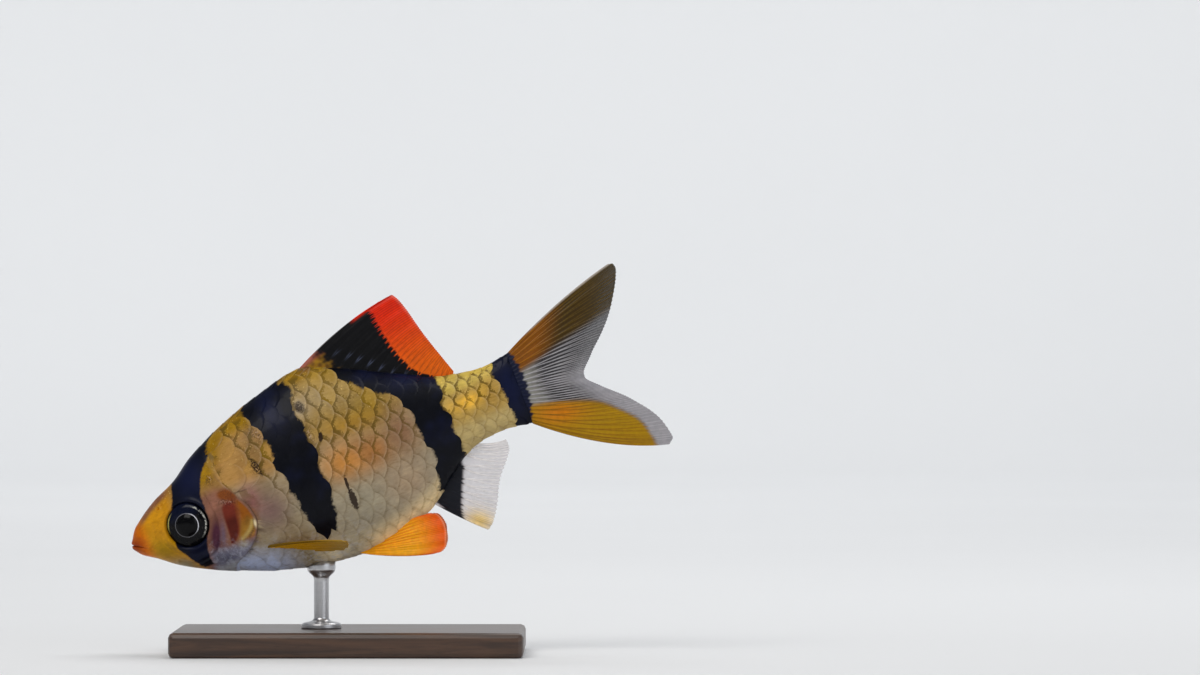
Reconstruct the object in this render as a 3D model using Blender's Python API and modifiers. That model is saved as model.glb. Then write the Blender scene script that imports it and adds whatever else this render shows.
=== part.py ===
"""Tiger barb (Puntigrus tetrazona), a still, life-size model on a plain display stand.

The fish is modelled level in its own frame: X runs from the snout to the tail, Y to its right side and
Z up its back. One empty then tips it nose down and lifts it onto the rod of its stand.
"""

import math

import bmesh
import bpy
import numpy as np

# Driving sizes. The fish is full grown at 50 mm from snout to tail root, and the sizes below are in
# millimetres of a fish of that length.
STANDARD_LENGTH = 0.050
MM = STANDARD_LENGTH / 50
GAP = 0.0003
NOSE_DOWN = math.radians(21.4)
SNOUT_HEIGHT = 13.5 * MM
SNOUT_AHEAD_OF_BASE = 26.0 * MM

# The body seen from the side: (distance from the snout, height) of the back and of the belly.
SNOUT_TIP = -0.3
SNOUT_TIP_HEIGHT = -0.62
SNOUT_ROUNDING = 1.3
TAIL_ROOT = 50.4
BACK = (
    (-0.3, 0.35), (1.0, 1.5), (4.0, 3.5), (7.0, 4.85), (10.0, 6.85), (15.0, 9.15), (20.0, 10.8),
    (26.0, 12.05), (30.0, 10.6), (34.0, 8.6), (38.0, 6.6), (41.0, 5.2), (43.5, 4.55), (46.5, 4.15),
    (50.6, 4.75),
)
BELLY = (
    (-0.3, -1.45), (1.0, -2.2), (4.0, -4.6), (8.0, -6.85), (12.0, -8.6), (16.0, -9.95), (21.0, -11.1),
    (26.0, -11.55), (31.0, -10.85), (34.5, -9.65), (38.0, -7.2), (41.0, -5.0), (44.0, -4.0),
    (46.5, -3.85), (50.6, -4.6),
)
# Seen from above: half the width, the height at which the body is widest, and how sharp its back ridge is.
HALF_WIDTH = (
    (-0.3, 0.95), (1.0, 1.55), (4.0, 2.65), (7.0, 3.4), (10.0, 4.0), (15.0, 4.6), (20.0, 4.8),
    (26.0, 4.5), (32.0, 3.5), (38.0, 2.4), (43.5, 1.75), (50.6, 0.85),
)
WIDEST_HEIGHT = ((-0.3, -0.6), (7.0, -1.2), (15.0, -1.5), (24.0, -1.5), (38.0, -0.3), (50.6, 0.05))
RIDGE_SHARPNESS = ((-0.3, 0.85), (7.0, 0.85), (14.0, 1.0), (26.0, 1.25), (40.0, 1.1), (50.6, 1.0))
BELLY_FULLNESS = 0.92

# The tail is swung a little to the fish's right, from this distance on.
BEND_START = 26.0
BEND_AT_TAIL_ROOT = 1.0

RING_POINTS = 48
HEAD_STATIONS = 22
TORSO_STATIONS = 28
PEDUNCLE_STATIONS = 8
FORM_STATIONS = 60
FORM_FRONT = 5.0

# Where the body is parted.
TORSO_FRONT = 8.5
HEAD_BACK = 16.6
PEDUNCLE_FRONT = 43.35
GILL_MARGIN = (
    (11.2, 11.0), (11.4, 6.5), (12.3, 3.2), (13.7, 0.6), (14.8, -1.6), (15.0, -3.0), (14.3, -4.7),
    (12.6, -6.2), (10.6, -7.2), (9.4, -10.5),
)
COVER_FRONT = (
    (12.6, -6.2), (11.0, -5.6), (10.1, -4.0), (9.95, -1.8), (10.5, 0.2), (11.6, 1.7), (12.9, 2.1),
)
COVER_THICKNESS = 0.9
COVER_PROUD = 0.2

# Head.
EYE_PLACE = (6.95, -0.4)
EYE_OUT = 3.2
EYE_TOE = math.radians(12)
EYE_PROFILE = (
    (0.0, 0.66), (0.75, 0.56), (1.3, 0.3), (1.45, 0.2), (2.05, 0.1), (2.42, -0.08), (2.62, -0.42),
    (2.3, -0.9), (1.4, -1.15), (0.0, -1.25),
)
SOCKET_PROFILE = ((0.0, 2.5), (2.93, 2.5), (2.93, -0.45), (2.6, -1.1), (1.55, -1.46), (0.0, -1.57))
MOUTH_FRONT = (-0.6, -0.29)
MOUTH_CORNER = (1.77, -1.73)
MOUTH_OPENING = 0.2
LIP_RADIUS = 0.32
LIP_HALF_WIDTH = 1.36
NOSTRIL_PLACE = (4.3, 2.5)
NOSTRIL_RADIUS = 0.3

# Fins: half the thickness of the membrane at its root and at its edge, how far a ray stands up from each
# face, and the share of the room between two rays that each side of a ray takes.
MEMBRANE = 0.26
MEMBRANE_EDGE = 0.16
RAY_RISE = 0.17
RAY_SHARE = 0.24
ROOT_SINK = 1.2

# Stand.
BASE_SIZE = (42.0, 26.0, 3.0)
BASE_BEVEL = 0.6
ROD_PLACE = 20.0
ROD_RADIUS = 0.9
ROD_FLANGE = (2.4, 0.9)
ROD_PAD = (1.7, 1.4)


def clear_scene():
    for old in list(bpy.data.objects):
        bpy.data.objects.remove(old, do_unlink=True)


def new_collection(name):
    made = bpy.data.collections.new(name)
    bpy.context.scene.collection.children.link(made)
    return made


def material(name, colour, roughness, metallic=0.0):
    made = bpy.data.materials.new(name)
    made.use_nodes = True
    shader = made.node_tree.nodes["Principled BSDF"]
    shader.inputs["Base Color"].default_value = (*colour, 1.0)
    shader.inputs["Roughness"].default_value = roughness
    shader.inputs["Metallic"].default_value = metallic
    return made


def through(knots, at):
    """A smooth curve through (position, value) knots that never overshoots, read at the given positions."""
    x, y = np.array(knots, float).T
    at = np.clip(np.asarray(at, float), x[0], x[-1])
    step = np.diff(x)
    rise = np.diff(y) / step
    slope = np.zeros_like(x)
    slope[0] = rise[0]
    slope[-1] = rise[-1]
    same_way = rise[:-1] * rise[1:] > 0
    before = np.where(same_way, rise[:-1], 1)
    after = np.where(same_way, rise[1:], 1)
    near = 2 * step[1:] + step[:-1]
    far = step[1:] + 2 * step[:-1]
    slope[1:-1] = np.where(same_way, (near + far) / (near / before + far / after), 0)
    k = np.clip(np.searchsorted(x, at, side="right") - 1, 0, len(step) - 1)
    t = (at - x[k]) / step[k]
    start = y[k] * (1 + 2 * t) * (1 - t) ** 2 + slope[k] * step[k] * t * (1 - t) ** 2
    end = y[k + 1] * t * t * (3 - 2 * t) - slope[k + 1] * step[k] * t * t * (1 - t)
    return start + end


def curve_through(points, count):
    """A smooth line through a few points, as count points spread evenly between the first and the last."""
    points = np.array(points, float)
    length = np.concatenate([[0], np.cumsum(np.linalg.norm(np.diff(points, axis=0), axis=1))])
    at = np.linspace(0, length[-1], count)
    return np.stack([through(np.stack([length, column], 1), at) for column in points.T], 1)


def bend(s):
    """How far the middle of the body lies to the fish's right at distance s."""
    past = np.maximum(np.asarray(s, float) - BEND_START, 0) / (TAIL_ROOT - BEND_START)
    return BEND_AT_TAIL_ROOT * past**2


def section_sizes(s):
    """Top, bottom, half width and widest height of the body at distance s, drawn in to a round tip."""
    s = np.asarray(s, float)
    share = np.clip((s - SNOUT_TIP) / SNOUT_ROUNDING, 0, 1)
    rounding = np.sqrt(1 - (1 - share) ** 2)
    widest = through(WIDEST_HEIGHT, s)
    top = SNOUT_TIP_HEIGHT + (through(BACK, s) - SNOUT_TIP_HEIGHT) * rounding
    bottom = SNOUT_TIP_HEIGHT + (through(BELLY, s) - SNOUT_TIP_HEIGHT) * rounding
    return top, bottom, through(HALF_WIDTH, s) * rounding, widest


def ring(s, grow=0.0):
    """The body's cross-section at distance s: an egg shape with a ridged back, as points in metres."""
    top, bottom, half_width, widest = section_sizes(s)
    angle = np.linspace(0, 2 * math.pi, RING_POINTS, endpoint=False)
    upper = np.sin(angle) > 0
    sharpness = np.where(upper, through(RIDGE_SHARPNESS, s), BELLY_FULLNESS)
    across = np.sign(np.cos(angle)) * np.abs(np.cos(angle)) ** sharpness
    reach = np.where(upper, top + grow - widest, widest - bottom + grow)
    y = bend(s) + (half_width + grow) * across
    z = widest + reach * np.sin(angle)
    return np.stack([np.full_like(y, s), y, z], 1) * MM


def flank(s, h):
    """Half the body's width at distance s and height h."""
    top, bottom, half_width, widest = section_sizes(s)
    upper = h > widest
    share = np.where(upper, (h - widest) / (top - widest), (h - widest) / (bottom - widest))
    power = np.where(upper, through(RIDGE_SHARPNESS, s), BELLY_FULLNESS)
    return half_width * np.sqrt(np.clip(1 - share**2, 0, 1)) ** power


def object_of(name, bm, collection):
    """A mesh object made from bm, with its faces turned outwards."""
    bmesh.ops.recalc_face_normals(bm, faces=bm.faces)
    mesh = bpy.data.meshes.new(name)
    bm.to_mesh(mesh)
    bm.free()
    made = bpy.data.objects.new(name, mesh)
    collection.objects.link(made)
    return made


def loft(name, rings, collection):
    """A closed surface through rings of equally many points, with a cap on each end."""
    bm = bmesh.new()
    rows = [[bm.verts.new(point) for point in one] for one in rings]
    for first, second in zip(rows, rows[1:]):
        for j in range(len(first)):
            k = (j + 1) % len(first)
            bm.faces.new((first[j], first[k], second[k], second[j]))
    bm.faces.new(rows[0])
    bm.faces.new(rows[-1])
    return object_of(name, bm, collection)


def body_length(name, stations, collection, grow=0.0):
    """The body between the first and the last station, grown outwards all over by grow."""
    return loft(name, [ring(s, grow) for s in stations], collection)


def extruded_outline(name, points, low, high, collection):
    """A flat outline of (distance, height) points, made solid from low to high across the fish."""
    flat = bpy.data.curves.new(name, "CURVE")
    flat.dimensions = "2D"
    flat.fill_mode = "BOTH"
    flat.extrude = (high - low) / 2 * MM
    spline = flat.splines.new("POLY")
    spline.points.add(len(points) - 1)
    for point, (s, h) in zip(spline.points, points):
        point.co = (s * MM, h * MM, 0, 1)
    spline.use_cyclic_u = True
    drawn = bpy.data.objects.new(name, flat)
    drawn.rotation_euler.x = math.pi / 2
    drawn.location.y = (low + high) / 2 * MM
    collection.objects.link(drawn)
    return meshed(drawn)


def meshed(drawn):
    """A curve object made into a closed mesh object, in the same place."""
    bpy.context.view_layer.update()
    graph = bpy.context.evaluated_depsgraph_get()
    mesh = bpy.data.meshes.new_from_object(drawn.evaluated_get(graph))
    mesh.transform(drawn.matrix_world)
    bm = bmesh.new()
    bm.from_mesh(mesh)
    bmesh.ops.remove_doubles(bm, verts=bm.verts, dist=1e-7)
    name, collection = drawn.name, drawn.users_collection[0]
    bpy.data.objects.remove(drawn)
    bpy.data.meshes.remove(mesh)
    return object_of(name, bm, collection)


def combine(target, operation, tools, solver="EXACT"):
    """Cuts, joins or meets the target with each tool, applies the result and removes the tools."""
    for tool in tools:
        modifier = target.modifiers.new(tool.name, "BOOLEAN")
        modifier.operation = operation
        modifier.object = tool
        modifier.solver = solver
    bpy.context.view_layer.update()
    graph = bpy.context.evaluated_depsgraph_get()
    mesh = bpy.data.meshes.new_from_object(target.evaluated_get(graph))
    target.modifiers.clear()
    target.data = mesh
    for tool in tools:
        bpy.data.objects.remove(tool)
    return target


def keep_largest(target):
    """Leaves only the largest closed surface of the target's mesh."""
    bm = bmesh.new()
    bm.from_mesh(target.data)
    unseen = set(bm.verts)
    islands = []
    while unseen:
        edge = [unseen.pop()]
        island = set(edge)
        while edge:
            for link in edge.pop().link_edges:
                for vert in link.verts:
                    if vert in unseen:
                        unseen.remove(vert)
                        island.add(vert)
                        edge.append(vert)
        islands.append(island)
    largest = max(islands, key=len)
    bmesh.ops.delete(bm, geom=[vert for vert in bm.verts if vert not in largest], context="VERTS")
    bm.to_mesh(target.data)
    bm.free()
    return target


def turned(name, profile, steps, collection):
    """A solid turned about Z from a profile of (radius, height) that runs down its outer side."""
    mesh = bpy.data.meshes.new(name)
    points = [(radius * MM, 0, height * MM) for radius, height in profile]
    mesh.from_pydata(points, [(i, i + 1) for i in range(len(points) - 1)], [])
    made = bpy.data.objects.new(name, mesh)
    collection.objects.link(made)
    screw = made.modifiers.new("turn", "SCREW")
    screw.steps = steps
    screw.render_steps = steps
    screw.use_merge_vertices = True
    screw.merge_threshold = 1e-6
    return made


def finish(made, finish_material, parent=None):
    """Gives a part its material, smooth shading and the empty that it hangs from."""
    made.data.materials.clear()
    made.data.materials.append(finish_material)
    made.data.shade_smooth()
    made.data.set_sharp_from_angle(angle=math.radians(35))
    made.parent = parent
    return made


def gill_prism(name, behind, grow, cutters):
    """Everything behind the margin of the gill covers, or everything ahead of it, set off by grow."""
    margin = curve_through(GILL_MARGIN, 28)
    margin[:, 0] += grow
    far = 60.0 if behind else -10.0
    outline = [*margin, (far, margin[-1][1]), (far, margin[0][1])]
    return extruded_outline(name, outline, -9.0, 9.0, cutters)


def cover_outline(grow):
    """Outline of one gill cover: a curved front edge and the free margin behind, set off by grow."""
    front = curve_through(COVER_FRONT, 14)
    margin = curve_through(GILL_MARGIN, 28)
    low, high = COVER_FRONT[0][1], COVER_FRONT[-1][1]
    free = margin[(margin[:, 1] < high) & (margin[:, 1] > low)]
    outline = np.concatenate([front, free[:-1]])
    centre = outline.mean(0)
    away = outline - centre
    return outline + away / np.linalg.norm(away, axis=1, keepdims=True) * grow


def gill_cover(name, side, parts, cutters):
    """One gill cover: a thin curved plate, slightly proud of the cheek, with a free rear margin."""
    stations = np.linspace(TORSO_FRONT, HEAD_BACK, 14)
    low, high = sorted((side * 0.5, side * 7.0))
    cover = body_length(name, stations, parts, COVER_PROUD)
    prism = extruded_outline("cover_outline", cover_outline(-GAP / MM / 2), low, high, cutters)
    combine(cover, "INTERSECT", [prism])
    inner_stations = np.linspace(TORSO_FRONT - 1, HEAD_BACK + 1, 14)
    inner = body_length("cover_inside", inner_stations, cutters, -COVER_THICKNESS)
    behind = gill_prism("cover_margin", True, -GAP / MM / 2, cutters)
    combine(cover, "DIFFERENCE", [inner, behind])
    return keep_largest(cover)


def cover_pocket(side, cutters):
    """The hollow in the cheek that a gill cover lies in."""
    low, high = sorted((side * 0.5, side * 7.0))
    pocket = extruded_outline("pocket", cover_outline(GAP / MM / 2), low, high, cutters)
    stations = np.linspace(TORSO_FRONT - 1, HEAD_BACK + 1, 14)
    floor = body_length("pocket_floor", stations, cutters, -COVER_THICKNESS - GAP / MM)
    return combine(pocket, "DIFFERENCE", [floor])


def lip(name, offset, collection):
    """A lip: a round bead along one edge of the mouth, from corner to corner round the snout."""
    angle = np.linspace(-math.pi / 2, math.pi / 2, 13)
    reach = MOUTH_CORNER[0] - SNOUT_TIP - LIP_RADIUS
    s = MOUTH_CORNER[0] - reach * np.cos(angle)
    h = mouth_height(s) + offset
    bead = bpy.data.curves.new(name, "CURVE")
    bead.dimensions = "3D"
    bead.bevel_depth = LIP_RADIUS * MM
    bead.bevel_resolution = 2
    bead.use_fill_caps = True
    spline = bead.splines.new("POLY")
    spline.points.add(len(s) - 1)
    for i, point in enumerate(spline.points):
        across = LIP_HALF_WIDTH * math.sin(angle[i])
        point.co = (s[i] * MM, across * MM, h[i] * MM, 1)
        point.radius = 0.3 + 0.7 * math.cos(angle[i])
    drawn = bpy.data.objects.new(name, bead)
    collection.objects.link(drawn)
    return meshed(drawn)


def mouth_height(s):
    """Height of the line of the mouth at distance s."""
    slope = (MOUTH_CORNER[1] - MOUTH_FRONT[1]) / (MOUTH_CORNER[0] - MOUTH_FRONT[0])
    return MOUTH_FRONT[1] + slope * (np.asarray(s, float) - MOUTH_FRONT[0])


def mouth_slit(cutters):
    """The gap between the jaws, a thin tilted slab across the snout."""
    run = MOUTH_CORNER[0] - MOUTH_FRONT[0]
    drop = MOUTH_CORNER[1] - MOUTH_FRONT[1]
    bpy.ops.mesh.primitive_cube_add(size=1)
    slab = bpy.context.object
    slab.name = "mouth_slit"
    slab.scale = (math.hypot(run, drop) * MM, 6 * MM, MOUTH_OPENING * MM)
    slab.rotation_euler.y = -math.atan2(drop, run)
    middle = ((MOUTH_FRONT[0] + MOUTH_CORNER[0]) / 2, 0, (MOUTH_FRONT[1] + MOUTH_CORNER[1]) / 2)
    slab.location = [value * MM for value in middle]
    return placed_in(slab, cutters)


def placed_in(made, collection):
    """Applies an object's place to its mesh and moves it to a collection."""
    bpy.context.view_layer.update()
    made.data.transform(made.matrix_world)
    made.matrix_world.identity()
    for old in list(made.users_collection):
        old.objects.unlink(made)
    collection.objects.link(made)
    return made


def ball(name, centre, radii, collection, segments=24, rings=12):
    """A ball or flattened ball whose poles lie along Y."""
    bpy.ops.mesh.primitive_uv_sphere_add(segments=segments, ring_count=rings, radius=1)
    made = bpy.context.object
    made.name = name
    made.rotation_euler.x = math.pi / 2
    made.scale = (radii[0] * MM, radii[2] * MM, radii[1] * MM)
    made.location = [value * MM for value in centre]
    return placed_in(made, collection)


def head(parts, cutters, fish, skin):
    """Head with its jaws, lips, nostrils, eye sockets and the hollows of its gill covers."""
    share = np.linspace(0.012, 1, HEAD_STATIONS)
    stations = SNOUT_TIP + (HEAD_BACK - SNOUT_TIP) * share**1.5
    made = body_length("head", stations, parts)
    combine(made, "DIFFERENCE", [gill_prism("behind_gills", True, -GAP / MM / 2, cutters)])
    sockets = []
    nostrils = []
    for side in (-1, 1):
        sockets.append(at_eye(turned("socket", SOCKET_PROFILE, 28, cutters), side))
        out = float(flank(*NOSTRIL_PLACE))
        nostrils.append(ball("nostril", (NOSTRIL_PLACE[0], side * out, NOSTRIL_PLACE[1]),
                             (NOSTRIL_RADIUS * 1.4, NOSTRIL_RADIUS, NOSTRIL_RADIUS), cutters, 10, 6))
    lip_offset = LIP_RADIUS + MOUTH_OPENING * 0.35
    lips = [lip("upper_lip", lip_offset, cutters), lip("lower_lip", -lip_offset, cutters)]
    combine(made, "UNION", lips)
    pockets = [cover_pocket(side, cutters) for side in (-1, 1)]
    combine(made, "DIFFERENCE", [mouth_slit(cutters), *sockets, *nostrils, *pockets])
    return finish(keep_largest(made), skin, fish)


def torso(parts, cutters, fish, skin):
    stations = np.linspace(TORSO_FRONT, PEDUNCLE_FRONT - GAP / MM / 2, TORSO_STATIONS)
    made = body_length("torso", stations, parts)
    combine(made, "DIFFERENCE", [gill_prism("ahead_of_gills", False, GAP / MM / 2, cutters)])
    return finish(keep_largest(made), skin, fish)


def peduncle(parts, fish, skin):
    """The narrow wrist of the tail, from behind the dorsal and anal fins to the root of the tail fin."""
    stations = np.linspace(PEDUNCLE_FRONT + GAP / MM / 2, TAIL_ROOT, PEDUNCLE_STATIONS)
    return finish(body_length("tail_peduncle", stations, parts), skin, fish)


def at_eye(made, side):
    """Puts a turned solid at one eye's place, with its axis out of the head and a little forwards."""
    made.rotation_euler = (-side * math.pi / 2, 0, side * EYE_TOE)
    made.location = (EYE_PLACE[0] * MM, side * EYE_OUT * MM, EYE_PLACE[1] * MM)
    return made


def eye(name, side, parts, fish, glass):
    """An eye: a flattened ball turned about its axis, with the pupil's dome standing out of the iris."""
    return finish(at_eye(turned(name, EYE_PROFILE, 28, parts), side), glass, fish)


def ray_columns(rays):
    """Shares across a fin at the two feet and the crest of each ray, and how far each rises."""
    crest = np.linspace(0, 1, rays)
    foot = RAY_SHARE / (rays - 1)
    shares = np.stack([crest - foot, crest, crest + foot], 1).ravel()[1:-1]
    rises = np.tile([0.0, 1.0, 0.0], rays)[1:-1]
    return shares, rises


def fin(name, root, margin, place, rays, rows, bow, collection):
    """A fin: a sheet of lines from a root curve to a margin curve, with its rays raised on both faces.

    root and margin give a and b in the fin's own plane for a share across it, place turns such points
    into the fish's frame, and bow bends the lines between root and margin.
    """
    shares, rises = ray_columns(rays)
    along = np.linspace(0, 1, rows)[:, None]
    start = np.stack([through(root[0], shares), through(root[1], shares)], 1)
    end = np.stack([through(margin[0], shares), through(margin[1], shares)], 1)
    flat = start + (end - start) * along[..., None]
    flat[..., 1] += 4 * along * (1 - along) * through(bow, shares)
    middle = place(flat[..., 0], flat[..., 1])
    across = np.gradient(middle, axis=1)
    down = np.gradient(middle, axis=0)
    normal = np.cross(across, down)
    normal /= np.linalg.norm(normal, axis=2, keepdims=True)
    edge = np.clip((along - 0.75) / 0.25, 0, 1)
    half = MEMBRANE + (MEMBRANE_EDGE - MEMBRANE) * edge + RAY_RISE * rises * (1 - 0.6 * along)
    faces = [(middle + sign * normal * half[..., None]) * MM for sign in (1, -1)]
    return vane(name, faces, collection)


def vane(name, faces, collection):
    """A closed sheet between two grids of points, with the same diagonals on both."""
    bm = bmesh.new()
    front, back = [[[bm.verts.new(point) for point in row] for row in grid] for grid in faces]
    rows, columns = len(front), len(front[0])
    for i in range(rows - 1):
        for j in range(columns - 1):
            for grid in (front, back):
                bm.faces.new((grid[i][j], grid[i][j + 1], grid[i + 1][j + 1]))
                bm.faces.new((grid[i][j], grid[i + 1][j + 1], grid[i + 1][j]))
    for i in range(rows - 1):
        for j in (0, columns - 1):
            bm.faces.new((front[i][j], front[i + 1][j], back[i + 1][j], back[i][j]))
    for j in range(columns - 1):
        for i in (0, rows - 1):
            bm.faces.new((front[i][j], front[i][j + 1], back[i][j + 1], back[i][j]))
    return object_of(name, bm, collection)


def median(s, h):
    """Puts points of a fin on the middle plane of the fish, swung with its tail."""
    return np.stack([s, bend(s), h], -1)


def paired(origin, along, across, side, cup):
    """Puts points of a paired fin in its own tilted plane, given by two (s, outward, h) directions."""
    along = np.array(along, float) / np.linalg.norm(along)
    across = np.array(across, float)
    across -= along * (across @ along)
    across /= np.linalg.norm(across)
    lift = np.cross(along, across)
    mirror = np.array([1, side, 1.0])

    def place(a, b):
        raised = cup * (a / 10) ** 2
        points = np.array(origin) + a[..., None] * along + b[..., None] * across + raised[..., None] * lift
        return points * mirror

    return place


def trimmed(made, cutters, fish, membrane):
    """Cuts a fin to the body, which leaves its root face to face with the flesh."""
    form = body_length("flesh", np.linspace(FORM_FRONT, TAIL_ROOT, FORM_STATIONS), cutters, GAP / MM)
    combine(made, "DIFFERENCE", [form])
    return finish(keep_largest(made), membrane, fish)


def dorsal_fin(parts, cutters, fish, membrane):
    """Eleven rays lean far back from the ridge of the back, and the rear margin is nearly straight."""
    at = np.linspace(26.1, 42.5, 9)
    share = np.linspace(0, 1, 9)
    root = (list(zip(share, at)), list(zip(share, through(BACK, at) - ROOT_SINK)))
    margin = (
        ((0, 38.2), (0.06, 39.7), (0.14, 40.4), (0.5, 41.5), (1, 43.25)),
        ((0, 16.15), (0.06, 16.0), (0.14, 15.0), (0.5, 10.6), (1, 4.95)),
    )
    made = fin("dorsal_fin", root, margin, median, 11, 7, ((0, 1.25), (0.4, 0.5), (1, 0)), parts)
    return trimmed(made, cutters, fish, membrane)


def tail_fin_lobe(name, root, margin, bow, parts, fish, membrane):
    made = fin(name, root, margin, median, 9, 8, bow, parts)
    return finish(made, membrane, fish)


def tail_fin(parts, fish, membrane):
    """Two pointed lobes with a deep fork between them, each with nine rays that spread from the root."""
    start = TAIL_ROOT + GAP / MM
    fork_upper = -0.15
    upper_root = (((0, start), (1, start)), ((0, 4.5), (1, fork_upper)))
    upper_margin = (
        ((0, 65.6), (0.05, 66.0), (0.12, 65.7), (0.4, 62.8), (0.75, 59.3), (1, 57.7)),
        ((0, 10.25), (0.05, 9.9), (0.12, 8.6), (0.4, 4.1), (0.75, 0.7), (1, -1.15)),
    )
    upper_bow = ((0, 0.5), (0.5, 0.2), (1, 0))
    tail_fin_lobe("tail_fin_upper", upper_root, upper_margin, upper_bow, parts, fish, membrane)
    fork_lower = fork_upper - GAP / MM
    lower_root = (((0, start), (1, start)), ((0, fork_lower), (1, -4.35)))
    lower_margin = (
        ((0, 57.7), (0.25, 59.2), (0.6, 62.0), (0.88, 64.6), (0.95, 64.9), (1, 64.2)),
        ((0, -1.45), (0.25, -3.2), (0.6, -6.0), (0.88, -10.2), (0.95, -12.0), (1, -12.75)),
    )
    lower_bow = ((0, 0), (0.5, -0.3), (1, -1.1))
    tail_fin_lobe("tail_fin_lower", lower_root, lower_margin, lower_bow, parts, fish, membrane)


def anal_fin(parts, cutters, fish, membrane):
    """Seven rays from behind the vent to the tail's wrist, with a straight margin."""
    at = np.linspace(34.7, 41.6, 7)
    share = np.linspace(0, 1, 7)
    root = (list(zip(share, at)), list(zip(share, through(BELLY, at) + ROOT_SINK)))
    margin = (
        ((0, 40.4), (0.05, 40.8), (0.5, 43.8), (1, 46.6)),
        ((0, -14.3), (0.05, -14.0), (0.5, -9.2), (1, -4.95)),
    )
    made = fin("anal_fin", root, margin, median, 7, 6, ((0, -0.2), (1, -0.35)), parts)
    return trimmed(made, cutters, fish, membrane)


def pelvic_fin(name, side, parts, cutters, fish, membrane):
    """Eight rays folded back along the belly, outside it, with a round end."""
    place = paired((24.7, 1.0, -11.2), (0.97, 0.13, -0.16), (-0.14, 0.3, -0.94), side, 0.5)
    root = (((0, 0.8), (1, 0.6)), ((0, -0.5), (1, 0.7)))
    margin = (
        ((0, 9.9), (0.1, 10.6), (0.4, 11.2), (0.75, 10.8), (0.93, 9.9), (1, 9.0)),
        ((0, -2.7), (0.1, -2.4), (0.4, -0.6), (0.75, 1.4), (0.93, 2.15), (1, 2.15)),
    )
    made = fin(name, root, margin, place, 8, 6, ((0, 0.4), (0.5, 0.1), (1, 0.2)), parts)
    return trimmed(made, cutters, fish, membrane)


def pectoral_fin(name, side, parts, cutters, fish, membrane):
    """Nine rays spread level behind the gill cover, like a small fan held out from the flank."""
    out = float(flank(15.8, -7.0))
    place = paired((15.0, out - 0.7, -6.75), (0.87, 0.41, -0.28), (0.2, -0.86, -0.38), side, 0.6)
    root = (((0, 0.3), (1, 0.3)), ((0, -0.8), (1, 0.8)))
    margin = (
        ((0, 10.9), (0.08, 11.2), (0.5, 10.1), (0.9, 7.7), (1, 6.7)),
        ((0, -1.9), (0.08, -1.4), (0.5, 1.2), (0.9, 2.8), (1, 2.8)),
    )
    made = fin(name, root, margin, place, 9, 6, ((0, -0.3), (1, 0.3)), parts)
    return trimmed(made, cutters, fish, membrane)


def to_world(s, h):
    """World (x, z), in the fish's millimetres, of a point on the middle plane of the fish."""
    cosine, sine = math.cos(NOSE_DOWN), math.sin(NOSE_DOWN)
    x = s * cosine - h * sine - SNOUT_AHEAD_OF_BASE / MM
    z = s * sine + h * cosine + SNOUT_HEIGHT / MM
    return x, z


def stand_base(parts, wood):
    bpy.ops.mesh.primitive_cube_add(size=1)
    base = bpy.context.object
    base.name = "stand_base"
    base.scale = [size * MM for size in BASE_SIZE]
    base.location.z = BASE_SIZE[2] / 2 * MM
    placed_in(base, parts)
    bevel = base.modifiers.new("rounded_edges", "BEVEL")
    bevel.width = BASE_BEVEL * MM
    bevel.segments = 2
    finish(base, wood)


def stand_rod(parts, cutters, fish, steel):
    """A turned rod with a foot, and a pad that is cut to the belly above it."""
    belly = float(through(BELLY, ROD_PLACE))
    x, z = to_world(ROD_PLACE, belly)
    foot = BASE_SIZE[2] + GAP / MM
    top = z + 1.0
    pad_radius, pad_height = ROD_PAD
    flange_radius, flange_height = ROD_FLANGE
    profile = (
        (0, top), (pad_radius, top), (pad_radius, z - pad_height * 0.5), (ROD_RADIUS, z - pad_height),
        (ROD_RADIUS, foot + flange_height), (flange_radius, foot + flange_height * 0.6),
        (flange_radius, foot), (0, foot),
    )
    rod = turned("stand_rod", profile, 20, parts)
    rod.location.x = x * MM
    form = body_length("flesh", np.linspace(FORM_FRONT, TAIL_ROOT, FORM_STATIONS), cutters, GAP / MM)
    form.data.transform(fish.matrix_world)
    combine(rod, "DIFFERENCE", [form])
    finish(keep_largest(rod), steel)


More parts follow.
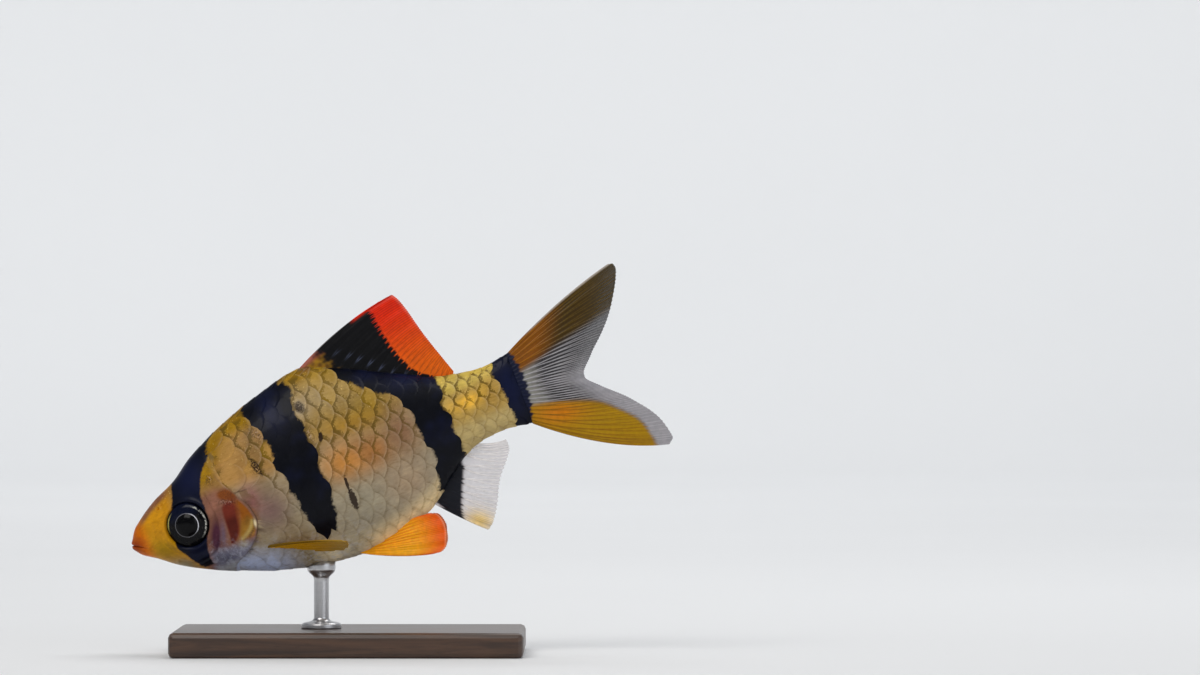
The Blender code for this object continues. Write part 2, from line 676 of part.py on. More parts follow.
def main():
    clear_scene()
    parts = new_collection("tiger_barb")
    cutters = new_collection("cutters")
    fish = bpy.data.objects.new("fish_pose", None)
    parts.objects.link(fish)
    fish.location = (-SNOUT_AHEAD_OF_BASE, 0, SNOUT_HEIGHT)
    fish.rotation_euler.y = -NOSE_DOWN
    bpy.context.view_layer.update()

    orange_skin = material("orange_and_silver_skin", (0.62, 0.36, 0.08), 0.35)
    gold_skin = material("gold_skin_with_black_bars", (0.55, 0.42, 0.16), 0.35)
    cover_skin = material("red_gold_gill_cover", (0.5, 0.2, 0.08), 0.3)
    black_eye = material("black_eye", (0.01, 0.01, 0.015), 0.08)
    red_fin = material("black_and_red_fin", (0.55, 0.09, 0.02), 0.4)
    orange_fin = material("orange_fin", (0.8, 0.3, 0.02), 0.4)
    clear_fin = material("clear_yellow_fin", (0.62, 0.5, 0.22), 0.4)
    wood = material("dark_wood", (0.08, 0.045, 0.03), 0.45)
    steel = material("steel", (0.6, 0.6, 0.6), 0.3, 1.0)

    head(parts, cutters, fish, orange_skin)
    torso(parts, cutters, fish, gold_skin)
    peduncle(parts, fish, gold_skin)
    for side, word in ((-1, "left"), (1, "right")):
        finish(gill_cover(f"gill_cover_{word}", side, parts, cutters), cover_skin, fish)
        eye(f"eye_{word}", side, parts, fish, black_eye)
        pelvic_fin(f"pelvic_fin_{word}", side, parts, cutters, fish, orange_fin)
        pectoral_fin(f"pectoral_fin_{word}", side, parts, cutters, fish, clear_fin)
    dorsal_fin(parts, cutters, fish, red_fin)
    anal_fin(parts, cutters, fish, clear_fin)
    tail_fin(parts, fish, clear_fin)
    stand_base(parts, wood)
    stand_rod(parts, cutters, fish, steel)


main()
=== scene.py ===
"""A tiger barb on a plain display stand: its skin, scales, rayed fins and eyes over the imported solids, with a
pale floor, soft lights and the camera.

Shapes are worked out level, in the fish's own frame and in millimetres: s is the distance from the snout, y
the side, with the fish's right positive, and h the height. to_world then tips and lifts them into the frame
of the solids, in metres.
"""

import math

import bpy
import numpy as np
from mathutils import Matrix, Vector


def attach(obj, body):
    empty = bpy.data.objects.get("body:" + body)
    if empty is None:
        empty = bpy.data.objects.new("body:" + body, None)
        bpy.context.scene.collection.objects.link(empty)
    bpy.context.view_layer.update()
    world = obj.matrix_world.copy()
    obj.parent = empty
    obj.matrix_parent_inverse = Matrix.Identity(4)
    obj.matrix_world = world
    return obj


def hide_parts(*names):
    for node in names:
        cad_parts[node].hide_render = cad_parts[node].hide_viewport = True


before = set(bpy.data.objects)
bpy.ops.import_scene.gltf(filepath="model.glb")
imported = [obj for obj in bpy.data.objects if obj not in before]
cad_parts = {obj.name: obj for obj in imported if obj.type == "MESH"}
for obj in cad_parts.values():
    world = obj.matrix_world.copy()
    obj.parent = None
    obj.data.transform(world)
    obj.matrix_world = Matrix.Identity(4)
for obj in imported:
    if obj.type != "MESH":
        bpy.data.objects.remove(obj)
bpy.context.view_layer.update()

# Place and tilt of the fish over the middle of its stand, as in the solids.
MM = 0.001
NOSE_DOWN = math.radians(21.4)
COSINE = math.cos(NOSE_DOWN)
SINE = math.sin(NOSE_DOWN)
SNOUT_PLACE = (-26.0, 13.5)

# The body's form, as in the solids: back, belly, half width, widest height and how sharp the back is.
SNOUT_TIP = -0.3
SNOUT_TIP_HEIGHT = -0.62
SNOUT_ROUNDING = 1.3
TAIL_ROOT = 50.4
TAIL_WEDGE = 0.8
BACK = (
    (-0.3, 0.35), (1.0, 1.5), (4.0, 3.5), (7.0, 4.85), (10.0, 6.85), (15.0, 9.15), (20.0, 10.8),
    (26.0, 12.05), (30.0, 10.6), (34.0, 8.6), (38.0, 6.6), (41.0, 5.2), (43.5, 4.55), (46.5, 4.15),
    (50.6, 4.75),
)
BELLY = (
    (-0.3, -1.45), (1.0, -2.2), (4.0, -4.6), (8.0, -6.85), (12.0, -8.6), (16.0, -9.95), (21.0, -11.1),
    (26.0, -11.55), (31.0, -10.85), (34.5, -9.65), (38.0, -7.2), (41.0, -5.0), (44.0, -4.0),
    (46.5, -3.85), (50.6, -4.6),
)
HALF_WIDTH = (
    (-0.3, 0.95), (1.0, 1.55), (4.0, 2.65), (7.0, 3.4), (10.0, 4.0), (15.0, 4.6), (20.0, 4.8),
    (26.0, 4.5), (32.0, 3.5), (38.0, 2.4), (43.5, 1.75), (50.6, 0.85),
)
WIDEST_HEIGHT = ((-0.3, -0.6), (7.0, -1.2), (15.0, -1.5), (24.0, -1.5), (38.0, -0.3), (50.6, 0.05))
RIDGE_SHARPNESS = ((-0.3, 0.85), (7.0, 0.85), (14.0, 1.0), (26.0, 1.25), (40.0, 1.1), (50.6, 1.0))
BELLY_FULLNESS = 0.92
BEND_START = 26.0
BEND_AT_TAIL_ROOT = 1.0

# Head: eye, mouth and nostrils, and the gill cover's margin as (height, s).
EYE_PLACE = (6.98, 3.2, -0.6)
EYE_TOE = math.radians(12)
EYE_RADIUS = 2.66
MOUTH_FRONT = (-0.6, -0.29)
MOUTH_CORNER = (1.77, -1.73)
NOSTRIL = (4.3, 2.5)
NOSTRIL_BEHIND = (4.85, 2.8)
GILL_MARGIN = (
    (-10.5, 9.4), (-7.2, 10.6), (-6.2, 12.6), (-4.7, 14.3), (-3.0, 15.0), (-1.6, 14.8), (0.6, 13.7),
    (3.2, 12.3), (6.5, 11.4), (11.0, 11.2),
)
CHEEK_RIDGE = ((10.2, 2.0), (10.5, -0.8), (10.1, -3.2), (8.9, -4.9), (6.6, -5.3), (4.6, -4.3))
JAW_CREASE = ((1.77, -1.73), (2.5, -1.1), (2.9, -0.1), (3.0, 1.0))

# Lines of the gill cover's colours: its dark red streak, with the half width at each height, where that turns
# to gold, as (height, s), the pale lower edge of the gold, and the olive line behind it.
RED_STREAK = ((12.38, -0.6), (12.2, -1.55), (12.1, -2.45), (11.95, -3.3), (11.75, -3.95), (11.4, -4.5))
STREAK_HALF_WIDTH = ((-4.95, 0.1), (-4.4, 0.26), (-3.9, 0.42), (-3.3, 0.58), (-1.5, 0.72), (-0.5, 0.8))
GOLD_FRONT = (
    (-4.52, 12.1), (-4.19, 12.4), (-3.55, 12.78), (-2.79, 13.08), (-1.96, 13.31), (-1.1, 13.47), (0.6, 13.6),
)
PALE_EDGE = ((14.5, -2.9), (13.95, -3.65), (13.3, -4.15), (12.6, -4.5))
OLIVE_LINE = ((14.65, -2.9), (14.55, -3.6), (14.05, -4.1), (13.5, -4.5))

# Scales: the lateral line, the room that a scale takes along the body and the room between two rows, the
# length and half width of a scale in those, how much of its length is buried, and the row and column of its
# grid that stand for its middle.
LATERAL_LINE = ((8.0, 2.2), (14.0, 1.0), (20.0, 0.0), (27.0, -0.4), (36.0, -0.1), (52.0, 0.1))
SCALE_STEP = ((8.0, 1.7), (20.0, 1.8), (32.0, 1.75), (42.0, 1.55), (52.0, 1.3))
ROW_STEP = ((8.0, 1.75), (16.0, 2.0), (24.0, 2.2), (34.0, 1.95), (43.0, 1.5), (52.0, 1.3))
SCALE_ROWS = 8
SCALE_LENGTH = 2.1
SCALE_REACH = 1.1
BURIED = 0.12
MIDDLE_ROW = slice(3, 4)
MIDDLE_COLUMN = slice(4, 5)
COAT_DEPTH = 0.12

# Markings: outlines of the blue-black bars, small dark spots (middle, reach, turn, how broken up), and the
# patches (strength, middle, reach, turn) that are peppered with dots and where the bars turn to navy, which
# is partly their own blue-black and partly a painted blue sheen.
EYE_BAR = (
    (7.4, 7.5), (6.75, 4.3), (6.25, 2.7), (5.5, 1.0), (4.8, -1.0), (4.9, -2.7), (5.6, -4.0), (6.4, -5.3),
    (7.2, -6.1), (8.2, -6.1), (8.1, -5.2), (8.2, -4.2), (8.6, -3.1), (9.7, -0.6), (9.7, 1.8), (10.0, 3.0),
    (10.4, 3.9), (11.1, 5.0), (12.4, 6.5), (13.5, 8.6), (14.6, 11.5),
)
SHOULDER_BAR = (
    (17.5, 13.5), (17.8, 10.0), (18.3, 8.0), (19.0, 6.5), (19.3, 4.0), (19.6, 0.0), (20.3, -3.0),
    (21.0, -6.0), (21.5, -7.9), (22.6, -8.4), (23.4, -7.5), (24.2, -5.5), (24.6, -3.0), (24.3, -1.0),
    (24.3, 2.0), (24.2, 5.0), (23.6, 6.9), (23.5, 8.5), (24.0, 9.8), (23.3, 11.3), (22.9, 13.5),
)
FIN_BAR = (
    (28.4, 14.0), (29.1, 10.7), (30.5, 8.9), (31.8, 7.4), (33.5, 5.8), (34.9, 5.2), (35.8, 4.2), (36.2, 3.0),
    (36.5, 1.0), (36.9, -1.0), (37.2, -4.0), (36.9, -6.5), (36.3, -8.5), (36.0, -10.5), (39.2, -11.0),
    (39.4, -8.2), (40.3, -5.8), (41.0, -4.0), (40.7, -2.0), (41.0, 0.0), (40.5, 2.0), (41.0, 3.5),
    (40.7, 5.2), (40.2, 9.0), (40.0, 14.0),
)
TAIL_BAR = (
    (47.2, 7.0), (47.4, 4.0), (47.6, 2.0), (47.8, 0.0), (47.9, -3.0), (48.2, -7.0), (49.4, -7.0),
    (50.2, -3.4), (50.7, 0.0), (50.6, 2.5), (50.3, 4.2), (50.0, 7.0),
)
DARK_SPOTS = (
    ((24.6, 7.7), (0.6, 0.8), 0.2, 0.4), ((26.65, -4.95), (0.42, 1.3), 0.0, 0.0),
    ((26.6, -2.9), (0.2, 1.0), -0.05, 0.0), ((25.7, 3.4), (0.3, 0.6), -0.3, 0.0),
    ((17.2, 2.9), (0.42, 1.3), 0.28, 0.75),
)
PEPPERED = (
    (1.0, (12.5, 0.25), (1.15, 0.42), -0.37), (0.5, (12.75, 1.15), (1.0, 0.5), -0.37),
    (1.0, (17.2, 2.8), (0.6, 0.9), 0.5), (1.0, (18.6, 6.6), (0.5, 1.6), 0.5),
    (0.9, (11.4, 3.6), (0.5, 0.8), -0.4), (1.0, (24.6, 4.2), (0.4, 2.0), 0.1),
)
NAVY = (
    (1.0, (9.3, 4.6), (2.4, 2.8)), (1.0, (37.5, 6.4), (2.4, 1.4)), (1.0, (48.8, 1.0), (1.4, 4.0)),
    (1.0, (21.0, 8.6), (1.2, 2.4)),
)

# The photograph's frame: the camera looks level along +Y, and a pixel of the 1200 wide picture is 0.12 mm.
CAMERA_PLACE = (30.04, -800.0, 37.92)
CAMERA_LENS = 200.0
SENSOR_WIDTH = 36.0


def soft(value, low, high):
    """Goes smoothly from 0 at low to 1 at high, whichever is greater: 3x^2 - 2x^3 of the share between."""
    share = np.clip((value - low) / (high - low), 0, 1)
    return share * share * (3 - 2 * share)


def bump(value, middle, width):
    """A bell of height 1 at middle: e to the minus square of the distance in widths."""
    return np.exp(-(((value - middle) / width) ** 2))


def unit(vectors):
    """Vectors divided by their lengths."""
    return vectors / np.maximum(np.linalg.norm(vectors, axis=-1, keepdims=True), 1e-9)


def round_angles(count):
    """Even angles round a circle, as one row of a grid."""
    return np.linspace(0, 2 * math.pi, count, endpoint=False)[None]


def through(knots, at):
    """A smooth curve through (position, value) knots that never overshoots, read at the given positions: a
    cubic between two knots, with the harmonic mean of the rises on either side as a knot's slope."""
    x, y = np.array(knots, float).T
    at = np.clip(at, x[0], x[-1])
    step = np.diff(x)
    rise = np.diff(y) / step
    same_way = rise[:-1] * rise[1:] > 0
    before = np.where(same_way, rise[:-1], 1)
    after = np.where(same_way, rise[1:], 1)
    near = 2 * step[1:] + step[:-1]
    far = step[1:] + 2 * step[:-1]
    inner = np.where(same_way, (near + far) / (near / before + far / after), 0)
    slope = np.concatenate([rise[:1], inner, rise[-1:]])
    k = np.clip(np.searchsorted(x, at, side="right") - 1, 0, len(step) - 1)
    t = (at - x[k]) / step[k]
    start = y[k] * (1 + 2 * t) * (1 - t) ** 2 + slope[k] * step[k] * t * (1 - t) ** 2
    end = y[k + 1] * t * t * (3 - 2 * t) - slope[k + 1] * step[k] * t * t * (1 - t)
    return start + end


def curve(knots, at):
    """A smooth curve in the plane or in space: each knot is a position along it and its coordinates there."""
    knots = np.array(knots, float)
    return np.stack([through(knots[:, [0, i]], at) for i in range(1, knots.shape[1])], -1)


def flow(points, count):
    """A smooth line through points, as count points at even shares of its length."""
    points = np.array(points, float)
    length = np.append(0, np.cumsum(np.linalg.norm(np.diff(points, axis=0), axis=1)))
    return curve(np.column_stack([length, points]), np.linspace(0, length[-1], count))


def line_distance(s, h, line):
    """Distance in the side view from each (s, h) to a line of points."""
    place = np.stack([s, h], -1)[..., None, :]
    start = line[:-1]
    run = line[1:] - start
    share = np.clip(((place - start) * run).sum(-1) / (run * run).sum(-1), 0, 1)
    return np.linalg.norm(place - start - share[..., None] * run, axis=-1).min(-1)


def inside_depth(s, h, outline):
    """Distance to a closed outline's edge, positive inside: edges that cross the level line to the right
    an odd number of times mean inside."""
    corners = flow(np.vstack([outline, outline[:1]]), 4 * len(outline))
    distance = line_distance(s, h, corners)
    s, h = s[..., None], h[..., None]
    (s0, h0), (s1, h1) = corners[:-1].T, corners[1:].T
    rise = np.where(h1 == h0, 1, h1 - h0)
    crosses = ((h0 > h) != (h1 > h)) & (s < s0 + (h - h0) / rise * (s1 - s0))
    return np.where(crosses.sum(-1) % 2 == 1, distance, -distance)


def bend(s):
    """How far the middle plane lies to the fish's right at s: the share past the bend's start, squared."""
    return BEND_AT_TAIL_ROOT * (np.maximum(s - BEND_START, 0) / (TAIL_ROOT - BEND_START)) ** 2


def section_sizes(s):
    """Top, bottom, half width and widest height at s, drawn in as a quarter circle at the snout. Behind the
    tail root the width falls in a straight line to a thin edge between the rays."""
    front = np.clip((s - SNOUT_TIP) / SNOUT_ROUNDING, 0, 1)
    rear = np.clip((s - TAIL_ROOT) / TAIL_WEDGE, 0, 1)
    rounding = np.sqrt(1 - (1 - front) ** 2)
    shrink = rounding * (1 - 0.1 * rear**2)
    top = SNOUT_TIP_HEIGHT + (through(BACK, s) - SNOUT_TIP_HEIGHT) * shrink
    bottom = SNOUT_TIP_HEIGHT + (through(BELLY, s) - SNOUT_TIP_HEIGHT) * shrink
    half_width = through(HALF_WIDTH, s) * rounding * (1 - 0.97 * rear)
    return top, bottom, half_width, through(WIDEST_HEIGHT, s)


def body(s, angle):
    """Point of the plain body form at s and at an angle round its section, from the right side over the
    back: y is half width times cosine to a power, h the widest height plus the reach times sine."""
    top, bottom, half_width, widest = section_sizes(s)
    cosine, sine = np.cos(angle), np.sin(angle)
    upper = sine > 0
    power = np.where(upper, through(RIDGE_SHARPNESS, s), BELLY_FULLNESS)
    across = np.sign(cosine) * np.abs(cosine) ** power
    reach = np.where(upper, top - widest, widest - bottom)
    return np.stack(np.broadcast_arrays(s, bend(s) + half_width * across, widest + reach * sine), -1)


def body_normal(s, angle):
    """Outward direction of the body form: the cross product of its two tangents by finite differences."""
    ahead = body(s + 0.02, angle) - body(s - 0.02, angle)
    round_it = body(s, angle + 0.01) - body(s, angle - 0.01)
    return unit(np.cross(round_it, ahead))


def to_world(points):
    """Tips points of the fish's frame nose down, lifts them over the stand and turns them to metres."""
    s, y, h = np.moveaxis(np.asarray(points, float), -1, 0)
    x = s * COSINE - h * SINE + SNOUT_PLACE[0]
    z = s * SINE + h * COSINE + SNOUT_PLACE[1]
    return np.stack([x, y, z], -1) * MM


def grid_faces(rows, columns, closed=False):
    """Quads of a grid of points, row by row, closed round its columns or not."""
    i = np.arange(rows - 1)[:, None]
    j = np.arange(columns if closed else columns - 1)[None]
    k = (j + 1) % columns
    faces = [i * columns + j, i * columns + k, (i + 1) * columns + k, (i + 1) * columns + j]
    return np.stack(faces, -1).reshape(-1, 4)


def capped(rings, front, rear):
    """Points, quads and end triangles of a closed surface of rings between a front and a rear point."""
    rows, columns = rings.shape[:2]
    ring = np.arange(columns)
    after = (ring + 1) % columns
    last = (rows - 1) * columns
    fans = [
        np.stack([np.full(columns, rows * columns), after, ring], 1),
        np.stack([np.full(columns, rows * columns + 1), last + ring, last + after], 1),
    ]
    points = np.concatenate([rings.reshape(-1, 3), [front, rear]])
    return points, grid_faces(rows, columns, closed=True), np.concatenate(fans)


def sheet_faces(rows, columns):
    """Quads of a thin closed sheet: a front grid, a back grid turned over, and a rim between them."""
    count = rows * columns
    front = grid_faces(rows, columns)
    index = np.arange(count).reshape(rows, columns)
    edge = np.concatenate([index[0, :-1], index[:-1, -1], index[-1, :0:-1], index[:0:-1, 0]])
    after = np.roll(edge, -1)
    rim = np.stack([after, edge, edge + count, after + count], -1)
    return np.concatenate([front, front[:, ::-1] + count, rim])


def plate_faces(rows, columns):
    """Quads of a scale: its outer grid, then a flat underside, which spans from one side edge to the other
    and closes both ends across. Also says which of them are the underside."""
    outer = grid_faces(rows, columns)
    first = np.arange(rows - 1) * columns
    last = first + columns - 1
    under = np.stack([first, first + columns, last + columns, last], 1)
    j = np.arange(columns // 2 - 1)
    front = np.stack([j + 1, columns - 2 - j, columns - 1 - j, j], 1)
    rear = front[:, ::-1] + (rows - 1) * columns
    faces = np.concatenate([outer, under, front, rear])
    return faces, np.arange(len(faces)) >= len(outer)


def make_piece(name, points, quads, finish, triangles=(), attributes=None, uv=None, flat=None):
    """A smooth mesh object from world points and faces, with point attributes and one UV map by point. Faces
    marked flat keep their own shading."""
    loops = np.concatenate([np.ravel(quads), np.ravel(triangles)]).astype(np.int32)
    starts = np.concatenate([np.arange(len(quads)) * 4, len(quads) * 4 + np.arange(len(triangles)) * 3])
    mesh = bpy.data.meshes.new(name)
    mesh.vertices.add(len(points))
    mesh.vertices.foreach_set("co", np.ravel(points).astype(np.float32))
    mesh.loops.add(len(loops))
    mesh.loops.foreach_set("vertex_index", loops)
    mesh.polygons.add(len(starts))
    mesh.polygons.foreach_set("loop_start", starts.astype(np.int32))
    mesh.update(calc_edges=True)
    for key, values in (attributes or {}).items():
        values = np.asarray(values, np.float32)
        if values.ndim == 1:
            mesh.attributes.new(key, "FLOAT", "POINT").data.foreach_set("value", values)
        else:
            values = np.pad(values, ((0, 0), (0, 1)), constant_values=1)
            mesh.attributes.new(key, "FLOAT_COLOR", "POINT").data.foreach_set("color", values.ravel())
    if uv is not None:
        layer = mesh.uv_layers.new(name="OFBake")
        layer.data.foreach_set("uv", np.ravel(uv[loops]).astype(np.float32))
    mesh.shade_smooth()
    if flat is not None:
        mesh.attributes.new("sharp_face", "BOOLEAN", "FACE").data.foreach_set("value", flat)
    mesh.materials.append(finish)
    piece = bpy.data.objects.new(name, mesh)
    bpy.context.scene.collection.objects.link(piece)
    return piece


def dressed(piece, slot, *nodes):
    """Gives a piece its body, and hides the solids that it stands for. The slot is not used."""
    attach(piece, "root")
    if nodes:
        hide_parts(*nodes)


def over(below, above, share):
    """Colours laid over others by a share from 0 to 1 at each point."""
    share = np.asarray(share)[..., None]
    return below * (1 - share) + np.asarray(above) * share


def layered(base, layers, mask=1):
    """A colour array: each (colour, weight) layer is laid over what is below it by its weight in the mask."""
    paint = np.array(base, float)
    for shade, weight in layers:
        paint = over(paint, shade, np.clip(mask * weight, 0, 1))
    return paint


def patch(s, h, middle, reach, turn=0.0):
    """A soft patch of 1 at its middle that falls off as a bell along its two turned axes."""
    along, up = s - middle[0], h - middle[1]
    first = along * math.cos(turn) + up * math.sin(turn)
    second = up * math.cos(turn) - along * math.sin(turn)
    return np.exp(-((first / reach[0]) ** 2) - (second / reach[1]) ** 2)


def any_patch(s, h, places):
    """The greatest of some patches at each point, each times its strength."""
    return np.max([strength * patch(s, h, *place) for strength, *place in places], axis=0)


def relative_height(s, h):
    """Height over the lateral line as a share of the room up to the back, or down to the belly."""
    top, bottom = section_sizes(s)[:2]
    middle = through(LATERAL_LINE, s)
    room = np.where(h > middle, top - middle, middle - bottom)
    return (h - middle) / np.maximum(room, 0.3)


def body_paint(s, h):
    """The ground colour of skin and scales: cream flanks, laid over with gold, orange, pink and silver
    patches, and with the colours of the head, a painted highlight on the gill cover's rim and painted
    shade in the slit behind its margin."""
    def spot(middle, reach, turn=0.0):
        return patch(s, h, middle, reach, turn)

    share = relative_height(s, h)
    past_gill = s - through(GILL_MARGIN, h)
    on_head = soft(past_gill, 0.25, -0.15)
    ahead = on_head * soft(s - 0.25 * np.maximum(-h - 2, 0), 6.8, 5.2)
    front = soft(s, 22.0, 19.0) * (1 - on_head)
    wrist = soft(s, 39.0, 41.0)
    streak = line_distance(s, h, flow(RED_STREAK, 16)) / through(STREAK_HALF_WIDTH, h)
    behind_red = s - through(GOLD_FRONT, h)
    gold = on_head * soft(behind_red, -0.3, 0.25) * soft(past_gill, -0.15, -0.4)
    gold = gold * soft(h, -4.9, -4.2) * soft(h, 0.9, -0.2)
    pale_edge = bump(line_distance(s, h, flow(PALE_EDGE, 12)), 0, 0.2)
    olive_line = bump(line_distance(s, h, flow(OLIVE_LINE, 12)), 0, 0.12)
    below_ridge = section_sizes(s)[0] - h
    from_eye_bar = line_distance(s, h, flow(((10.6, 3.6), (11.3, 5.0), (12.6, 6.8), (13.6, 8.8)), 16))
    paint = layered((0.35, 0.27, 0.165), (
        ((0.345, 0.22, 0.065), soft(h, 1.6, 5.0)),
        ((0.33, 0.285, 0.205), soft(-h, 1.2, 4.0)),
        ((0.40, 0.30, 0.15), spot((27.6, 8.0), (2.4, 1.5), -0.3) * 0.7),
        ((0.24, 0.155, 0.025), spot((32.5, 4.4), (2.6, 2.8)) * 0.85),
        ((0.34, 0.22, 0.045), soft(share, 0.6, 0.98) * 0.65),
        ((0.39, 0.21, 0.018), bump(h, 3.6, 1.3) * bump(s, 29.5, 4.6) * 0.85),
        ((0.61, 0.262, 0.055), spot((27.4, -0.4), (3.0, 2.1), -0.1)),
        ((0.34, 0.135, 0.032), spot((31.0, -0.4), (2.8, 2.2), -0.1) * 0.9),
        ((0.27, 0.135, 0.07), spot((35.0, 0.6), (2.0, 3.0)) * 0.9),
        ((0.41, 0.29, 0.185), spot((33.6, -5.2), (3.0, 2.4)) * 0.8),
        ((0.88, 0.68, 0.38), soft(-share, 0.7, 0.95) * soft(s, 24, 28)),
        ((0.84, 0.72, 0.50), soft(-share, 0.6, 0.88) * bump(s, 21.5, 3.4)),
        ((0.33, 0.29, 0.21), spot((27.8, -5.6), (1.9, 2.2)) * 0.8),
        ((0.31, 0.17, 0.003), spot((25.4, 11.2), (1.8, 1.0)) * 1.2),
        ((0.15, 0.03, 0.02), spot((26.9, 11.9), (0.8, 0.6), -0.3) * 0.8),
        ((0.34, 0.20, 0.008), spot((28.5, 11.2), (0.8, 0.7)) * 0.85),
    ))
    paint = layered(paint, (
        ((0.31, 0.245, 0.145), soft(h, -1.5, -5.5)),
        ((0.165, 0.098, 0.088), spot((17.0, -2.6), (2.4, 2.6))),
        ((0.42, 0.228, 0.065), soft(h, 0.4, 2.6)),
        ((0.26, 0.15, 0.052), spot((17.9, 5.4), (1.4, 3.4)) * 0.9),
        ((0.33, 0.14, 0.14), spot((15.1, -0.6), (1.2, 1.9), -0.3)),
        ((0.34, 0.185, 0.004), soft(h, 6.9, 8.4)),
        ((0.25, 0.13, 0.010), spot((11.9, 5.0), (0.8, 1.2)) * 0.8),
    ), front)
    paint = layered(paint, (
        ((0.47, 0.31, 0.085), wrist),
        ((0.60, 0.44, 0.085), wrist * soft(h, 2.0, 3.4)),
        ((0.95, 0.53, 0.055), spot((43.6, 0.9), (2.3, 0.85), 0.06)),
        ((0.43, 0.25, 0.05), spot((46.4, 1.0), (1.0, 1.8)) * 0.8),
        ((0.50, 0.38, 0.16), wrist * soft(-h, 0.7, 2.2)),
        ((0.30, 0.28, 0.25), soft(s, 50.3, 51.0)),
        ((0.55, 0.20, 0.006), soft(s, 50.2, 51.0) * soft(h, 1.9, 2.9)),
        ((0.52, 0.26, 0.006), soft(s, 50.9, 51.8) * soft(-h, 2.1, 2.9)),
        ((0.52, 0.60, 0.86), soft(-share, 0.62, 0.9) * soft(s, 19.5, 14.5)),
        ((0.46, 0.38, 0.27), spot((24.55, 7.5), (0.95, 1.25), 0.2) * 0.8),
        ((0.22, 0.10, 0.065), on_head),
        ((0.33, 0.18, 0.045), on_head * soft(h, 1.4, 2.8)),
        ((0.33, 0.175, 0.004), soft(from_eye_bar, 1.8, 0.5) * soft(h, 2.4, 3.8)),
    ))
    paint = layered(paint, (
        ((0.31, 0.135, 0.09), spot((10.9, 0.7), (0.75, 1.5), -0.37) * 0.9),
        ((0.24, 0.095, 0.063), spot((11.0, -1.3), (0.45, 0.9), -0.2) * 0.9),
        ((0.075, 0.018, 0.038), spot((9.75, -3.2), (0.6, 1.9), -0.37) * 1.5),
        ((0.14, 0.085, 0.12), spot((10.65, -3.2), (0.33, 1.6), -0.3)),
        ((0.17, 0.165, 0.23), soft(-h - 0.1 * s, 3.2, 4.4) * soft(s, 7.5, 9.0)),
        ((0.38, 0.39, 0.43), soft(-h, 6.2, 7.2) * soft(s, 7.5, 9.0) * 0.8),
        ((0.07, 0.07, 0.11), spot((10.0, -6.0), (1.1, 0.45), -0.2) * 0.8),
    ), on_head)
    paint = layered(paint, (
        ((0.60, 0.27, 0.008), 1),
        ((0.36, 0.20, 0.003), spot((3.4, -2.4), (2.2, 1.4), -0.5)),
        ((0.25, 0.20, 0.11), spot((5.0, -4.9), (1.8, 0.8), -0.5)),
        ((0.62, 0.15, 0.004), soft(s, 2.6, 0.9)),
        ((0.32, 0.045, 0.003), spot((0.2, -0.7), (1.1, 1.0))),
        ((0.20, 0.075, 0.045), soft(below_ridge, 1.1, 0.4) * soft(s, 1.0, 2.4) * 0.9),
    ), ahead)
    paint = layered(paint, (
        ((0.22, 0.06, 0.012), soft(spot((12.75, 1.05), (1.25, 0.7), -0.37), 0.2, 0.6)),
        ((0.25, 0.034, 0.014), spot((12.8, -0.8), (0.8, 0.8))),
        ((0.21, 0.050, 0.012), soft(streak, 2.0, 1.2) * soft(behind_red, -1.3, -0.5)),
    ), on_head)
    paint = layered(paint, (
        ((0.27, 0.078, 0.004), 1),
        ((0.33, 0.155, 0.018), soft(-h, 1.8, 3.2)),
        ((0.16, 0.075, 0.008), spot((14.0, -2.6), (0.3, 0.6), -0.3) * 0.7),
    ), gold)
    paint = layered(paint, (
        ((0.17, 0.024, 0.012), soft(streak, 1.3, 0.75)),
        ((0.092, 0.011, 0.005), soft(streak, 1.2, 0.7) * soft(-h, 0.9, 2.1)),
        ((0.34, 0.29, 0.20), spot((12.5, -5.1), (0.6, 0.45), -0.2) * 0.8),
        ((0.48, 0.34, 0.10), pale_edge),
        ((0.09, 0.045, 0.012), olive_line * 0.85),
        # A painted highlight on the rim of the gill cover.
        ((0.85, 0.72, 0.45), spot((14.72, -3.3), (0.15, 0.42), -0.2) * 1.3),
    ), on_head)
    # Painted shade in the slit just behind the gill cover's margin.
    gill_slit_shade = bump(past_gill, 0.12, 0.13) * soft(h, -5.6, -4.4) * soft(h, 0.6, -0.6)
    return over(paint, (0.05, 0.02, 0.01), gill_slit_shade * 0.8)


def bar_depth(s, h):
    """Depth inside the nearest bar, in mm, negative outside all of them, down to -9."""
    depths = [inside_depth(s, h, outline) for outline in (EYE_BAR, SHOULDER_BAR, FIN_BAR, TAIL_BAR)]
    return np.maximum(np.max(depths, axis=0), -9.0)


def markings(s, h):
    """The attributes that skin and scales share: paint, depth in the bars, how silver (on the belly, throat
    and lower cheek), height over the lateral line, how peppered with dots, and how navy in the bars."""
    share = relative_height(s, h)
    belly = soft(-share, 0.45, 0.85) * soft(s, 30, 22) * soft(s, 6, 9)
    return {
        "paint": body_paint(s, h),
        "bar": bar_depth(s, h),
        "silver": np.clip(belly + 0.4 * patch(s, h, (11.0, -5.9), (1.8, 1.2)), 0, 1),
        "share": share,
        "speckle": any_patch(s, h, PEPPERED),
        "navy": any_patch(s, h, NAVY),
    }


